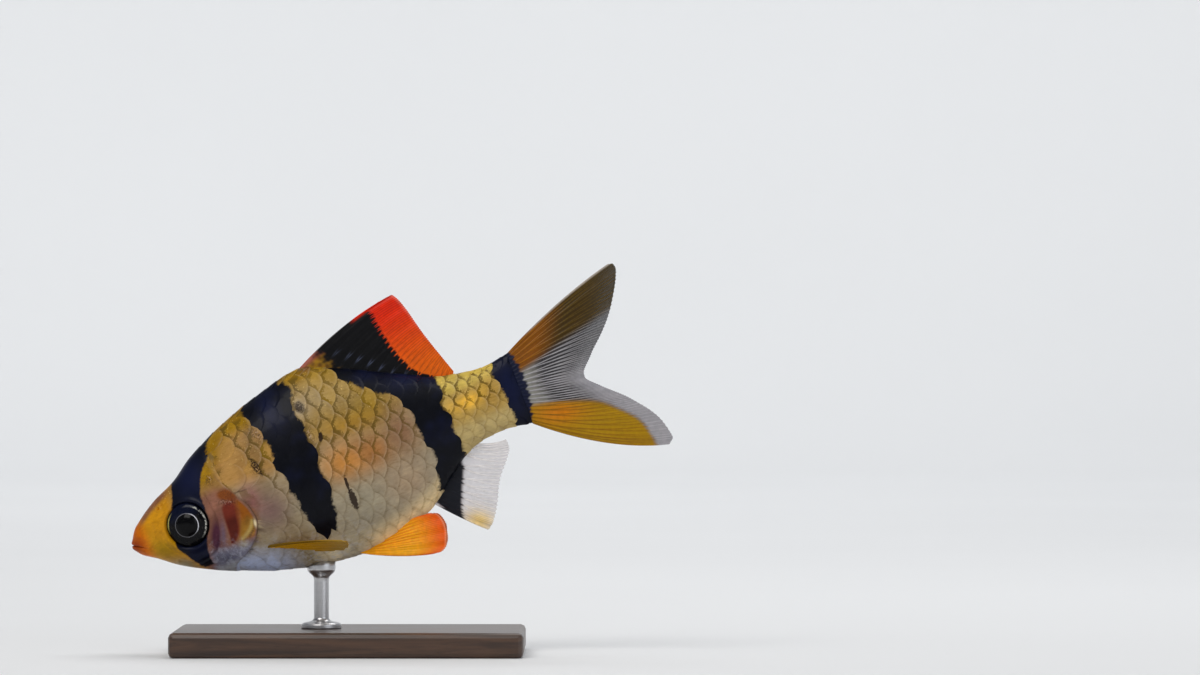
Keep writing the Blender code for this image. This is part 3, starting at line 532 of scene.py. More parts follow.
def skin_lift(points):
    """Height of the skin over the plain form, in mm: bells round the eye, lips, chin, jaw, cheek and
    nostrils, a step at the eye's socket and at the gill cover's margin, and the coat's depth behind that."""
    s, y, h = np.moveaxis(points, -1, 0)
    side = np.where(y > bend(s), 1.0, -1.0)
    along = (s - EYE_PLACE[0]) * math.cos(EYE_TOE) + (side * y - EYE_PLACE[1]) * math.sin(EYE_TOE)
    from_eye = np.hypot(along, h - EYE_PLACE[2])
    slope = (MOUTH_CORNER[1] - MOUTH_FRONT[1]) / (MOUTH_CORNER[0] - MOUTH_FRONT[0])
    over_mouth = (h - MOUTH_FRONT[1] - slope * (s - MOUTH_FRONT[0])) / math.hypot(1, slope)
    near_mouth = soft(s, 1.6, 0.75)
    crease = line_distance(s, h, flow(JAW_CREASE, 12))
    ridge = line_distance(s, h, flow(CHEEK_RIDGE, 24))
    nostril, behind = [np.hypot(s - place[0], h - place[1]) for place in (NOSTRIL, NOSTRIL_BEHIND)]
    past_gill = s - through(GILL_MARGIN, h)
    from_margin = past_gill * 0.85
    window = soft(h, -8.0, -5.6) * soft(h, 3.2, 1.2)
    cover = 0.26 * np.exp(np.minimum(from_margin, 0) / 1.6)
    slit = 0.42 * soft(from_margin, 0.1, 0) - 0.16 * np.exp(-np.maximum(from_margin, 0) / 0.5)
    lift = window * np.where(from_margin < 0, cover, slit) - COAT_DEPTH * soft(past_gill, 0.1, 1.0)
    lift -= 1.5 * soft(from_eye, EYE_RADIUS + 0.16, EYE_RADIUS - 0.2)
    bells = (
        (from_eye, EYE_RADIUS + 0.32, 0.26, 0.13),
        (from_eye, EYE_RADIUS + 1.0, 0.16, -0.06 * soft(-h, -0.5, 1.5)),
        (over_mouth, 0.3, 0.2, 0.05 * near_mouth),
        (over_mouth, -0.3, 0.2, 0.1 * near_mouth),
        (over_mouth, 0, 0.07, -0.22 * near_mouth),
        (over_mouth, 0.85, 0.14, -0.02 * near_mouth),
        (over_mouth, -0.8, 0.14, -0.05 * near_mouth),
        (s, 0.5, 1.3, 0.22 * soft(-over_mouth, 0.25, 0.9)),
        (crease, 0, 0.15, -0.07),
        (ridge, 0.3, 0.22, 0.07),
        (ridge, 0, 0.13, -0.1),
        (nostril, 0.28, 0.12, 0.08),
        (nostril, 0, 0.15, -0.3),
        (behind, 0, 0.16, -0.22),
        (from_margin, -1.15, 0.12, -0.05 * window * soft(h, 0.5, -1.0)),
    )
    for distance, middle, width, height in bells:
        lift += height * bump(distance, middle, width)
    return lift


def skin_stations():
    """Distances of the skin's rings: even arcs at the round snout, close over the head, wider behind it."""
    snout = SNOUT_TIP + SNOUT_ROUNDING * (1 - np.cos(np.linspace(0, math.pi / 2, 40)))
    wedge = TAIL_ROOT + TAIL_WEDGE * np.linspace(0, 1, 12)
    head = np.linspace(snout[-1], 10.5, 172)
    cheek = np.linspace(10.5, 16.0, 64)
    flank = np.linspace(16.0, TAIL_ROOT, 122)
    return np.concatenate([snout[:-1], head[:-1], cheek[:-1], flank[:-1], wedge])


def skin(finish):
    """The whole skin in one closed surface: rings of the body form, moved along their normals by skin_lift,
    between a point at the snout and one at the tail root."""
    s = skin_stations()[1:-1, None]
    steps_round = 230
    angle = round_angles(steps_round)
    plain = body(s, angle)
    rings = plain + body_normal(s, angle) * skin_lift(plain)[..., None]
    points, quads, fans = capped(rings, *body(np.array([SNOUT_TIP, TAIL_ROOT + TAIL_WEDGE]), 0.0))
    piece = make_piece("skin", to_world(points), quads, finish, fans, markings(points[:, 0], points[:, 2]))
    dressed(piece, "body_skin", "head", "torso", "tail_peduncle", "gill_cover_left", "gill_cover_right")


def angle_at(s, rise):
    """The angle round the section at s and at a distance over the lateral line, measured round the section:
    read between the four nearest entries of a table."""
    stations = np.linspace(8, TAIL_ROOT + TAIL_WEDGE - 0.1, 220)
    rises = np.linspace(-22, 22, 441)
    angle = np.linspace(math.radians(-150), math.radians(150), 601)
    points = body(stations[:, None], angle[None])
    length = np.linalg.norm(np.diff(points[..., 1:], axis=1), axis=-1)
    round_it = np.pad(np.cumsum(length, axis=1), ((0, 0), (1, 0)))
    near_side = (angle > -math.pi / 2) & (angle < math.pi / 2)
    table = np.empty((len(stations), len(rises)))
    for i, line in enumerate(through(LATERAL_LINE, stations)):
        start = np.interp(line, points[i, near_side, 2], round_it[i, near_side])
        table[i] = np.interp(rises, round_it[i] - start, angle)
    i = np.clip((s - stations[0]) / (stations[1] - stations[0]), 0, len(stations) - 1.001)
    j = np.clip((rise - rises[0]) / (rises[1] - rises[0]), 0, len(rises) - 1.001)
    low_i, low_j = i.astype(int), j.astype(int)
    share_i, share_j = i - low_i, j - low_j
    front, behind = [
        table[k, low_j] * (1 - share_j) + table[k, low_j + 1] * share_j for k in (low_i, low_i + 1)
    ]
    return front * (1 - share_i) + behind * share_i


def scale_roots():
    """Root distance and row number of each scale of one side: rows along the lateral line, every other one
    set back by half a scale, wherever the row lies on the flank and behind the gill cover."""
    columns = [9.0]
    while columns[-1] < TAIL_ROOT - 0.4:
        columns.append(columns[-1] + float(through(SCALE_STEP, columns[-1])))
    count = np.arange(len(columns))
    number, row = np.meshgrid(count, np.arange(-SCALE_ROWS, SCALE_ROWS + 1), indexing="ij")
    root = np.interp(number + 0.5 * (row % 2), count, columns)
    step = through(SCALE_STEP, root)
    angle = angle_at(root, row * through(ROW_STEP, root))
    keep = np.abs(angle) < math.pi / 2 - 0.1
    keep &= root - 0.4 * step > through(GILL_MARGIN, body(root, angle)[..., 2]) + 0.1
    keep &= root + 1.4 * step < TAIL_ROOT + 0.25
    return root[keep][:, None, None], row[keep][:, None, None]


def plate_grid():
    """Places on a scale: along from its buried root at 0 to its free edge at 1, and across from -1 to 1."""
    along = np.array([0, 0.35, 0.58, 0.76, 0.9, 1.0])[:, None]
    across = np.sin(np.linspace(-1.25, 1.25, 10))[None] / math.sin(1.25)
    return along, across


def free_edge(across):
    """How far a scale reaches at a place across it, as a share of its length: the root of 1 - 0.9 x^2."""
    return np.sqrt(np.maximum(1 - 0.9 * across**2, 0))


def uncovered(along, across):
    """How far, in scale steps, a place on a scale lies behind the free edges of the scales in front of it:
    the one before it in its row, and the two beside it, half a step ahead."""
    place = (along * (free_edge(across) + BURIED) - BURIED) * SCALE_LENGTH
    ahead = ((across, 1), (across + 1 / SCALE_REACH, 0.5), (across - 1 / SCALE_REACH, 0.5))
    return np.min([place - free_edge(there) * SCALE_LENGTH + steps for there, steps in ahead], axis=0)


def scale_piece(name, points, root, rise, middle, first, rng, finish):
    """One mesh of many scales from points of (scale, along, across, 3) in the fish's frame. Each has its
    patch of the bake map at its root's place on the unrolled skin. First ones have no scale before them."""
    count, rows, columns = points.shape[:3]
    along, across = plate_grid()
    faces, under = plate_faces(rows, columns)
    each = np.arange(count)[:, None, None] * rows * columns
    flat = points.reshape(-1, 3)

    def spread(values):
        """Values of each scale, row or column, as one for every point."""
        return np.broadcast_to(values, (count, rows, columns)).ravel()

    attributes = markings(flat[:, 0], flat[:, 2])
    attributes["bar"] = 0.55 * attributes["bar"] + 0.45 * spread(bar_depth(*middle))
    attributes["along"] = spread(along)
    attributes["across"] = spread(across)
    attributes["draw"] = spread(rng.random(root.shape))
    attributes["past"] = spread(uncovered(along, across) + first)
    map_start = 8
    map_span = 44
    u = 0.03 + 0.92 * (root - map_start) / map_span + 0.003 * along
    v = 0.5 + 0.92 * rise / map_span + 0.0015 * across
    uv = np.stack([spread(u), spread(v)], 1)
    quads = (faces[None] + each).reshape(-1, 4)
    piece = make_piece(name, to_world(flat), quads, finish, (), attributes, uv, np.tile(under, count))
    dressed(piece, "body_skin")


def scale_coat(side, word, finish):
    """The scales of one side. Each is a thin closed plate laid on the body form, its root buried, its round
    free edge lifted over the two behind it, and its sides lower than its middle."""
    rng = np.random.default_rng(11 if side < 0 else 12)
    root, row = scale_roots()
    along, across = plate_grid()
    step = through(SCALE_STEP, root)
    tilt = rng.normal(0, 0.03, root.shape)
    buried_edge = -BURIED * np.sqrt(np.maximum(1 - across**2, 0))
    reach = buried_edge + along * (free_edge(across) - buried_edge)
    s = root + (reach * SCALE_LENGTH - 0.7) * step + tilt * across
    width = SCALE_REACH * rng.normal(1, 0.02, root.shape)
    angle = angle_at(s, (row + across * width + tilt * along) * through(ROW_STEP, s))
    lean = rng.normal(0, 0.014, root.shape)
    rise = (0.135 + lean) * np.maximum(reach, 0) ** 1.2 - 0.045 * across**2
    plain = body(s, angle)
    near_gill = soft(s - through(GILL_MARGIN, plain[..., 2]), 1.8, 0.3)
    lift = rise - COAT_DEPTH + 0.03 - 0.09 * soft(s, 49.5, 52.0) + 0.1 * near_gill * soft(reach, 0, 0.4)
    points = plain + body_normal(s, angle) * lift[..., None]
    height = points[:, :, MIDDLE_COLUMN, 2]
    first = root - 1.4 * step < through(GILL_MARGIN, height[:, :1]) + 0.1
    if side < 0:
        points[..., 1] = 2 * bend(points[..., 0]) - points[..., 1]
        points = points[:, :, ::-1]
    rise = row * through(ROW_STEP, root)
    middle = (root + 0.7 * step, height[:, MIDDLE_ROW])
    scale_piece(f"scales_{word}", points, root, rise, middle, first, rng, finish)


def ridge_scales(finish):
    """One row of saddle-shaped scales along the middle of the back ahead of the fin, along the wrist of the
    tail, and along the keel of the belly, where the scales of the two sides meet."""
    rng = np.random.default_rng(13)
    step = 1.55
    runs = ((11.6, 25.0, 1), (43.6, 48.8, 1), (13.0, 24.5, -1), (25.5, 32.0, -1), (42.6, 48.8, -1))
    roots = [np.arange(start, end, step) for start, end, _ in runs]
    root = np.concatenate(roots)[:, None, None]
    way = np.repeat([up for _, _, up in runs], [len(part) for part in roots])[:, None, None]
    along, across = plate_grid()
    reach = along * (free_edge(across) + BURIED) - BURIED
    s = root + (reach * SCALE_LENGTH - 0.7) * step
    half = through(ROW_STEP, root) * 0.75
    angle = way * math.pi / 2 - across * half / np.maximum(section_sizes(s)[2], 0.5)
    lift = 0.1 * np.maximum(reach, 0) ** 1.2 - COAT_DEPTH + 0.05 - 0.05 * across**2
    points = body(s, angle) + body_normal(s, angle) * lift[..., None]
    middle = (root + 0.7 * step, points[:, MIDDLE_ROW, MIDDLE_COLUMN, 2])
    scale_piece("scales_midline", points[:, :, ::-1], root, way * 20.0, middle, 0, rng, finish)


def ray_field(u, v, ray_at, width):
    """How near each point is to a ray, from 0 to 1, and its place between two rays. A ray forks into two near
    its root and into four over its middle, and width gives its half width as a share of the room between
    rays."""
    number = np.interp(u, ray_at, np.arange(len(ray_at)))
    aside = number - np.round(number)
    first = 0.25 * soft(v, 0.08, 0.5)
    second = 0.125 * soft(v, 0.36, 0.85)
    forks = (-first - second, second - first, first - second, first + second)
    return bump(np.min([np.abs(aside - fork) for fork in forks], axis=0), 0, width), number


def fin_sheet(name, slot, nodes, finish, place, root, margin, bow, ray_at, grid, sizes, paint, stout=None):
    """A fin: points run along straight lines from a root curve to a margin curve, bent by bow. The sheet is
    thin between its rays and thicker on them, its membrane swells a little to either side by turns, and it
    is drawn in at the margin between the ray tips. Where it grows out of the body it is as stout as told."""
    rows, columns = grid
    membrane, ray_rise, ray_width, fringe = sizes
    u = np.linspace(0, 1, columns)[None]
    v = np.linspace(0, 1, rows)[:, None]
    start = curve(root, u)
    run = curve(margin, u) - start
    flat = start + run * v[..., None]
    flat[..., 1] += 4 * v * (1 - v) * through(bow, u)
    spacing = np.linalg.norm(np.gradient(flat, axis=1), axis=-1) * (columns - 1)
    room = spacing * np.interp(u, ray_at[:-1], np.diff(ray_at))
    ray, number = ray_field(u, v, ray_at, ray_width * (1 - 0.5 * v) / np.maximum(room, 0.05))
    flat -= unit(run) * (fringe * (1 - ray**0.3) * soft(v, 0.86, 1.0))[..., None]
    s, h = flat[..., 0], flat[..., 1]
    middle = place(s, h)
    normal = unit(np.cross(np.gradient(middle, axis=1), np.gradient(middle, axis=0)))
    joint_length = 0.42
    joints = 0.5 + 0.5 * np.cos(2 * math.pi * v * np.linalg.norm(run, axis=-1) / joint_length)
    segment = 1 - 0.3 * soft(joints, 0.75, 1.0) * soft(v, 0.2, 0.35)
    half = membrane * (1 - 0.5 * v) + ray_rise * ray * segment * (1 - 0.75 * v) + 0.004
    if stout is not None:
        half = half + stout(u, s)
    swell = 0.09 * np.sin(math.pi * number) * v
    points = [middle + normal * (swell + way * half)[..., None] for way in (1, -1)]
    colours, alpha = paint(u, v, s, h, ray, segment)
    attributes = {
        "paint": np.tile(colours.reshape(-1, 3), (2, 1)),
        "alpha": np.tile(np.broadcast_to(alpha, ray.shape).ravel(), 2),
    }
    points = to_world(np.reshape(points, (-1, 3)))
    dressed(make_piece(name, points, sheet_faces(rows, columns), finish, (), attributes), slot, *nodes)


def median(s, h):
    """Puts points on the fish's middle plane, swung with its tail."""
    return np.stack([s, bend(s), h], -1)


def paired(origin, along, across, side, cup):
    """Puts points in a paired fin's tilted plane, given by two (s, outward, h) directions and cupped."""
    along = unit(np.array(along))
    across = unit(across - along * (across @ along))
    lift = np.cross(along, across)

    def place(a, b):
        raised = cup * (a / 10) ** 2
        points = origin + a[..., None] * along + b[..., None] * across + raised[..., None] * lift
        return points * (1, side, 1)

    return place


def dorsal_fin(finish):
    """Short rays pressed to a stout leading one, then branched rays that lean far back. Black, with a band
    along the upper rear margin that turns from red to orange towards the tail, and pink at the front root.
    Painted highlights: blue glints on the rays near the root, a pale leading edge, and a pink rim on the
    band's margin."""
    share = np.linspace(0, 1, 12)
    at = np.linspace(26.0, 42.5, 12)
    root = np.column_stack([share, at, through(BACK, at) - 0.1 - 1.1 * soft(share, 0.0, 0.2)])
    margin = (
        (0, 38.4, 16.05), (0.035, 39.6, 16.2), (0.07, 40.0, 15.8), (0.14, 40.4, 14.9), (0.5, 41.5, 10.6),
        (1, 43.25, 4.95),
    )
    bow = ((0, 0.55), (0.12, 0.75), (0.4, 0.5), (1, 0))
    ray_at = (0, 0.028, 0.06, 0.13, 0.21, 0.29, 0.38, 0.47, 0.56, 0.65, 0.74, 0.83, 0.92, 1.0)
    band_edge = flow((
        (35.0, 16.0), (36.4, 15.2), (36.65, 13.4), (36.9, 11.9), (37.25, 10.2), (37.9, 8.3), (38.6, 6.9),
        (39.5, 6.0), (40.7, 5.2), (41.2, 3.5),
    ), 40)
    glint_line = np.array([(30.6, 12.3), (32.2, 11.2), (34.4, 9.4), (36.2, 7.6), (38.4, 6.4)])

    def paint(u, v, s, h, ray, segment):
        behind_edge = s - np.interp(h, band_edge[::-1, 1], band_edge[::-1, 0])
        tooth = 0.26 * (2 * ray - 1) + 0.1 * np.sin(7.1 * h) * np.cos(3.3 * h + 1)
        red = np.maximum(soft(behind_edge + tooth, -0.14, 0.16), soft(s, 33.6, 34.8) * soft(u, 0.06, 0.03))
        height = soft(h, 5.0, 15.5)
        crimson = layered((0.77, 0.13, 0.003), (
            ((0.80, 0.022, 0.002), height),
            # A painted highlight: a pink rim along the band's margin.
            ((0.88, 0.22, 0.15), soft(v, 0.96, 1.0) * height * 0.55),
            ((0, 0, 0), 0.38 * ray * soft(behind_edge, -0.1, 0.9) * (0.5 + 0.5 * segment)),
        ))
        glint = ray * bump(line_distance(s, h, glint_line), 0, 0.42) * (0.4 + 0.6 * bump(s, 34, 2.5))
        night = layered((0.002, 0.002, 0.003), (
            ((0.10, 0.12, 0.20), glint * 0.6),
            # A painted highlight along the leading edge.
            ((0.30, 0.28, 0.28), soft(u, 0.011, 0.002) * soft(v, 0.05, 0.2) * 0.8),
        ))
        uneven = 0.3 * np.sin(4.3 * h - 2.1 * s) + 0.3 * np.sin(7.9 * h + 5.2 * s) * np.sin(6.1 * s - 3 * h)
        front = soft(s + 0.45 * (h - 12) + uneven, 30.0, 28.2)
        blotch = 0.5 + 0.5 * np.sin(5.3 * s + 2.0 * h) * np.sin(4.1 * h - 1.7 * s)
        rose = layered((0.34, 0.075, 0.035), (
            ((0.42, 0.22, 0.012), soft(h - 0.25 * (s - 27), 12.4, 11.6)),
            ((0.06, 0.015, 0.010), blotch * 0.7),
            ((0.46, 0.15, 0.11), bump(u, 0, 0.03)),
        ))
        return over(over(night, crimson, red), rose, front), 1.0

    sizes = (0.08, 0.045, 0.075, 0.06)
    fin_sheet("dorsal_fin_rays", "dorsal_fin", ("dorsal_fin",), finish, median, root, margin, bow, ray_at,
              (90, 230), sizes, paint)


def tail_fin(finish):
    """Nineteen rays, with two short ones along each edge, fan out from the tail root into two pointed lobes:
    the upper orange, then olive, the middle grey with pale rays, the lower yellow with a clear margin."""
    start = TAIL_ROOT - 0.6
    root = ((0, start, 4.5), (1, start, -4.4))
    margin = (
        (0, 65.15, 10.2), (0.015, 65.75, 10.05), (0.035, 65.95, 9.5), (0.07, 65.6, 8.5), (0.2, 62.8, 4.1),
        (0.36, 59.3, 0.7), (0.485, 57.7, -1.15), (0.515, 57.7, -1.45), (0.63, 59.2, -3.2), (0.8, 62.0, -6.0),
        (0.93, 64.6, -10.2), (0.97, 64.9, -12.0), (1, 64.2, -12.75),
    )
    ray_at = np.concatenate([[0, 0.018], np.linspace(0.05, 0.95, 19), [0.98, 1.0]])
    yellow_edge = flow((
        (49.0, -2.0), (50.7, -2.3), (53.0, -2.9), (56.4, -4.0), (58.5, -5.0), (60.2, -6.5), (61.6, -8.0),
        (62.3, -9.2), (62.7, -11.2), (62.9, -14.0),
    ), 40)
    yellow_part = np.vstack([yellow_edge, (49.0, -14.0)])

    def paint(u, v, s, h, ray, segment):
        upper = soft(h - (2.3 + 0.24 * (s - 52)), -0.5, 0.7)
        streak = 0.35 * (ray - 0.4) * soft(v, 0.3, 0.6)
        lower = soft(inside_depth(s, h, yellow_part) + streak, -0.35, 0.35)
        orange = upper * soft(s + 0.6 * (5 - h), 57.4, 53.4)
        middle = np.clip(1 - upper - lower, 0, 1)
        rim = soft(v, 0.62, 0.95)
        pale_rim = (1 - lower) * rim * soft(-h, 3.0, 4.5)
        membrane = layered((0.030, 0.027, 0.031), (
            ((0.30, 0.285, 0.315), middle * rim * soft(-h, -1.5, 2.5)),
            ((0.25, 0.24, 0.21), soft(s - 0.2 * np.abs(h), 53.2, 50.9)),
            ((0.050, 0.026, 0.002), upper),
            ((0.055, 0.038, 0.015), upper * soft(v, 0.6, 0.95) * 0.8),
            ((0.22, 0.068, 0.001), orange),
            ((0.39, 0.215, 0.002), lower),
            ((0.60, 0.19, 0.003), lower * patch(s, h, (53.2, -4.3), (3.0, 1.4), -0.25)),
            ((0.30, 0.28, 0.30), pale_rim),
        ))
        rays = layered((0.40, 0.385, 0.40), (
            ((0.12, 0.070, 0.008), upper),
            ((0.34, 0.12, 0.002), orange),
            ((0.27, 0.12, 0.002), lower),
            ((0.46, 0.44, 0.46), pale_rim),
        ))
        beads = np.clip(upper * soft(v, 0.2, 0.35) * ray * (1 - segment) * 2.2, 0, 1)
        bar_edge = 50.72 - 0.04 * (h - 1) ** 2 + 0.14 * np.sin(5.1 * h) + 0.1 * np.sin(11.3 * h + 1)
        colours = layered(over(membrane, rays, ray * (1 - 0.2 * soft(v, 0.7, 1))), (
            ((0, 0, 0), beads * 0.5),
            ((0.005, 0.008, 0.03), soft(s - bar_edge, 0.25, -0.1)),
            ((0.42, 0.36, 0.30), soft(u, 0.016, 0.004) * soft(v, 0.15, 0.3)),
        ))
        clear = 0.88 + 0.1 * upper * soft(v, 1.0, 0.7) + 0.2 * lower
        clear = clear - 0.24 * rim * (1 - lower) * (1 - 0.7 * upper)
        return colours, np.clip(clear + 0.4 * ray * (1 - 0.6 * v) + soft(v, 0.3, 0.1), 0, 1)

    def stout(u, s):
        """Half thickness of the root: a half circle across it, which thins out over 3.4 mm behind it."""
        behind = np.clip((s - TAIL_ROOT) / 3.4, 0, 1)
        return 0.82 * np.sqrt(np.clip(1 - (2 * u - 1) ** 2, 0, 1)) * (1 - behind) ** 1.5

    bow = ((0, 0.5), (0.25, 0.2), (0.5, 0), (0.75, -0.3), (1, -1.1))
    sizes = (0.06, 0.10, 0.075, 0.1)
    fin_sheet("tail_fin_rays", "tail_fin", ("tail_fin_upper", "tail_fin_lower"), finish, median, root, margin,
              bow, ray_at, (120, 380), sizes, paint, stout)


def anal_fin(finish):
    """Clear, with pale rays, a yellow front tip, and the black of the third bar over its front root."""
    at = np.linspace(34.7, 41.6, 7)
    root = np.column_stack([np.linspace(0, 1, 7), at, through(BELLY, at) + 1.2])
    margin = ((0, 40.2, -14.35), (0.05, 40.9, -13.9), (0.5, 43.8, -9.2), (0.92, 46.2, -5.7), (1, 46.2, -5.0))
    bow = ((0, -0.2), (1, -0.35))
    ray_at = (0, 0.04, 0.1, 0.25, 0.42, 0.6, 0.78, 0.92, 1.0)
    bar = (
        (34.0, -6.0), (36.0, -9.9), (36.6, -11.6), (37.7, -12.4), (38.2, -10.9), (39.3, -8.3), (40.3, -5.8),
        (40.0, -4.0),
    )

    def paint(u, v, s, h, ray, segment):
        tip = patch(s, h, (39.6, -12.9), (1.9, 1.3), -0.6)
        membrane = over(np.array((0.66, 0.62, 0.64)), (0.86, 0.62, 0.22), tip)
        rays = over(np.array((0.90, 0.86, 0.84)), (0.92, 0.66, 0.24), tip)
        black = soft(inside_depth(s, h, bar) + 0.3 * (ray - 0.5), -0.25, 0.2)
        colours = over(over(membrane, rays, ray), (0.008, 0.009, 0.014), black)
        return colours, np.clip(0.42 + 0.5 * ray * (1 - 0.5 * v) + 0.3 * tip + black, 0, 1)

    sizes = (0.06, 0.09, 0.09, 0.15)
    fin_sheet("anal_fin_rays", "anal_fin", ("anal_fin",), finish, median, root, margin, bow, ray_at,
              (80, 130), sizes, paint)


def pelvic_fin(side, word, finish):
    """Eight rays in a rounded blade, orange at the root and red at the rim, with yellow along the rays."""
    place = paired((24.7, 1.0, -11.2), (0.97, 0.13, -0.16), (-0.14, 0.3, -0.94), side, 0.5)
    root = ((0, 0.5, -0.5), (1, 0.1, 0.0))
    margin = (
        (0, 9.3, -2.9), (0.1, 10.3, -2.6), (0.4, 11.1, -0.7), (0.75, 10.8, 1.4), (0.93, 9.9, 2.15),
        (1, 9.0, 2.15),
    )
    bow = ((0, -0.6), (0.5, -0.1), (1, 0.3))
    ray_at = (0, 0.14, 0.28, 0.42, 0.56, 0.7, 0.84, 1.0)

    def paint(u, v, s, h, ray, segment):
        membrane = layered((0.86, 0.25, 0.002), (
            ((0.84, 0.095, 0.003), soft(v, 0.66, 0.96)),
            ((0.86, 0.32, 0.003), soft(v, 0.35, 0.05) * 0.8),
            ((0.88, 0.42, 0.004), bump(u, 0.8, 0.16) * bump(v, 0.5, 0.3) * 0.9),
            ((0.90, 0.62, 0.40), soft(v, 0.975, 1.0) * 0.5),
        ))
        rays = over(np.array((0.92, 0.40, 0.006)), (0.88, 0.13, 0.005), soft(v, 0.6, 1.0))
        return over(membrane, rays, ray), np.clip(0.94 + 0.1 * ray, 0, 1)

    sizes = (0.06, 0.08, 0.09, 0.1)
    fin_sheet(f"pelvic_fin_rays_{word}", "pelvic_fin", (f"pelvic_fin_{word}",), finish, place, root, margin,
              bow, ray_at, (76, 120), sizes, paint)


def pectoral_fin(side, word, finish):
    """A small fan held out low behind the gill cover: orange, paler to the rim, its leading ray olive."""
    bottom, half_width, widest = section_sizes(15.8)[1:]
    share = (-7.0 - widest) / (bottom - widest)
    out = half_width * math.sqrt(1 - share**2) ** BELLY_FULLNESS
    place = paired((15.0, out - 0.7, -6.75), (0.87, 0.41, -0.21), (0.2, -0.86, -0.38), side, 0.6)
    root = ((0, 0.3, -0.8), (1, 0.3, 0.8))
    margin = ((0, 10.9, -1.9), (0.08, 11.2, -1.4), (0.5, 10.1, 1.2), (0.9, 7.7, 2.8), (1, 6.7, 2.8))
    bow = ((0, -0.3), (1, 0.3))
    ray_at = (0, 0.09, 0.2, 0.32, 0.44, 0.56, 0.68, 0.8, 0.91, 1.0)

    def paint(u, v, s, h, ray, segment):
        lead = soft(u, 0.16, 0.02)
        membrane = layered((0.38, 0.25, 0.05), (
            ((0.60, 0.27, 0.002), soft(v, 1.0, 0.4)),
            ((0.15, 0.080, 0.001), lead * soft(v, 0.95, 0.5) * 0.9),
        ))
        rays = over(np.array((0.62, 0.31, 0.006)), (0.15, 0.08, 0.001), lead * soft(v, 1.0, 0.6))
        return over(membrane, rays, ray), np.clip(0.8 + 0.2 * ray + 0.4 * lead - 0.25 * v, 0, 1)

    sizes = (0.055, 0.09, 0.08, 0.1)
    fin_sheet(f"pectoral_fin_rays_{word}", "pectoral_fin", (f"pectoral_fin_{word}",), finish, place, root,
              margin, bow, ray_at, (76, 140), sizes, paint)


def eyeball(side, word, finish):
    """An eye turned about its own axis, which toes a little forwards: a flat dark iris round the dome of the
    pupil, and a rounded back. The attributes hold each point's distance from the axis in mm and its tailward
    and upward direction."""
    profile = flow((
        (0.0, 0.66), (0.5, 0.62), (1.0, 0.47), (1.34, 0.27), (1.46, 0.19), (1.8, 0.15), (2.15, 0.06),
        (2.42, -0.1), (2.6, -0.3), (EYE_RADIUS, -0.5), (2.5, -0.8), (1.9, -1.05), (1.0, -1.2), (0.0, -1.25),
    ), 90)
    radius, height = profile[1:-1, :1], profile[1:-1, 1:]
    steps_round = 128
    angle = round_angles(steps_round)
    middle = EYE_PLACE * np.array([1, side, 1])
    tailward = np.array([math.cos(EYE_TOE), side * math.sin(EYE_TOE), 0])
    outward = np.array([-math.sin(EYE_TOE), side * math.cos(EYE_TOE), 0])
    around = np.cos(angle)[..., None] * tailward + np.sin(angle)[..., None] * (0, 0, 1)
    rings = middle + radius[..., None] * around + height[..., None] * outward
    points, quads, fans = capped(rings, *(middle + profile[[0, -1], 1:] * outward))
    if side < 0:
        quads, fans = quads[:, ::-1], fans[:, ::-1]
    values = {"radius": radius, "tailward": np.cos(angle), "upward": np.sin(angle)}
    attributes = {
        key: np.append(np.broadcast_to(value, rings.shape[:2]), [0, 0]) for key, value in values.items()
    }
    piece = make_piece(f"eyeball_{word}", to_world(points), quads, finish, fans, attributes)
    dressed(piece, "eye", f"eye_{word}")


def stand_rod(finish):
    """A steel rod with a turned foot, and a pad whose top follows the belly. The profile (radius, height) is
    turned about the upright axis, and the pad's top is set a little under the belly at each point, which is
    found in rounds, because a point's distance along the tilted fish depends on its height."""
    rod_place = 20.0
    foot = 3.05
    axis_x, _, pad = to_world((rod_place, 0.0, through(BELLY, rod_place))) / MM
    inner = np.column_stack([1.7 * np.linspace(1, 0.02, 14), np.full(14, pad)])
    profile = np.concatenate([[[0.02, foot]], flow((
        (2.4, foot), (2.4, foot + 0.45), (2.2, foot + 0.62), (1.1, foot + 0.95), (0.9, foot + 1.3),
        (0.9, pad - 2.0), (0.95, pad - 1.5), (1.6, pad - 0.75), (1.7, pad - 0.5), (1.7, pad),
    ), 90), inner])
    radius, height = profile[:, :1], profile[:, 1:]
    steps_round = 72
    angle = round_angles(steps_round)
    x = axis_x + radius * np.cos(angle)
    y = radius * np.sin(angle)
    behind_snout = x - SNOUT_PLACE[0]
    under = height
    for _ in range(12):
        above_snout = under - SNOUT_PLACE[1]
        s = behind_snout * COSINE + above_snout * SINE
        bottom, half_width, widest = section_sizes(s)[1:]
        out = np.clip(np.abs(y - bend(s)) / half_width, 0, 0.999) ** (1 / BELLY_FULLNESS)
        belly = widest - (widest - bottom) * np.sqrt(1 - out**2)
        under = under + (belly - above_snout * COSINE + behind_snout * SINE) / COSINE
    on_top = np.arange(len(profile))[:, None] >= len(profile) - len(inner) - 1
    rings = np.stack([x, y, np.where(on_top, under - 0.02, height)], -1) * MM
    points, quads, fans = capped(rings, rings[0].mean(0), rings[-1].mean(0))
    dressed(make_piece("stand_rod_turned", points, quads, finish, fans), "stand_steel", "stand_rod")


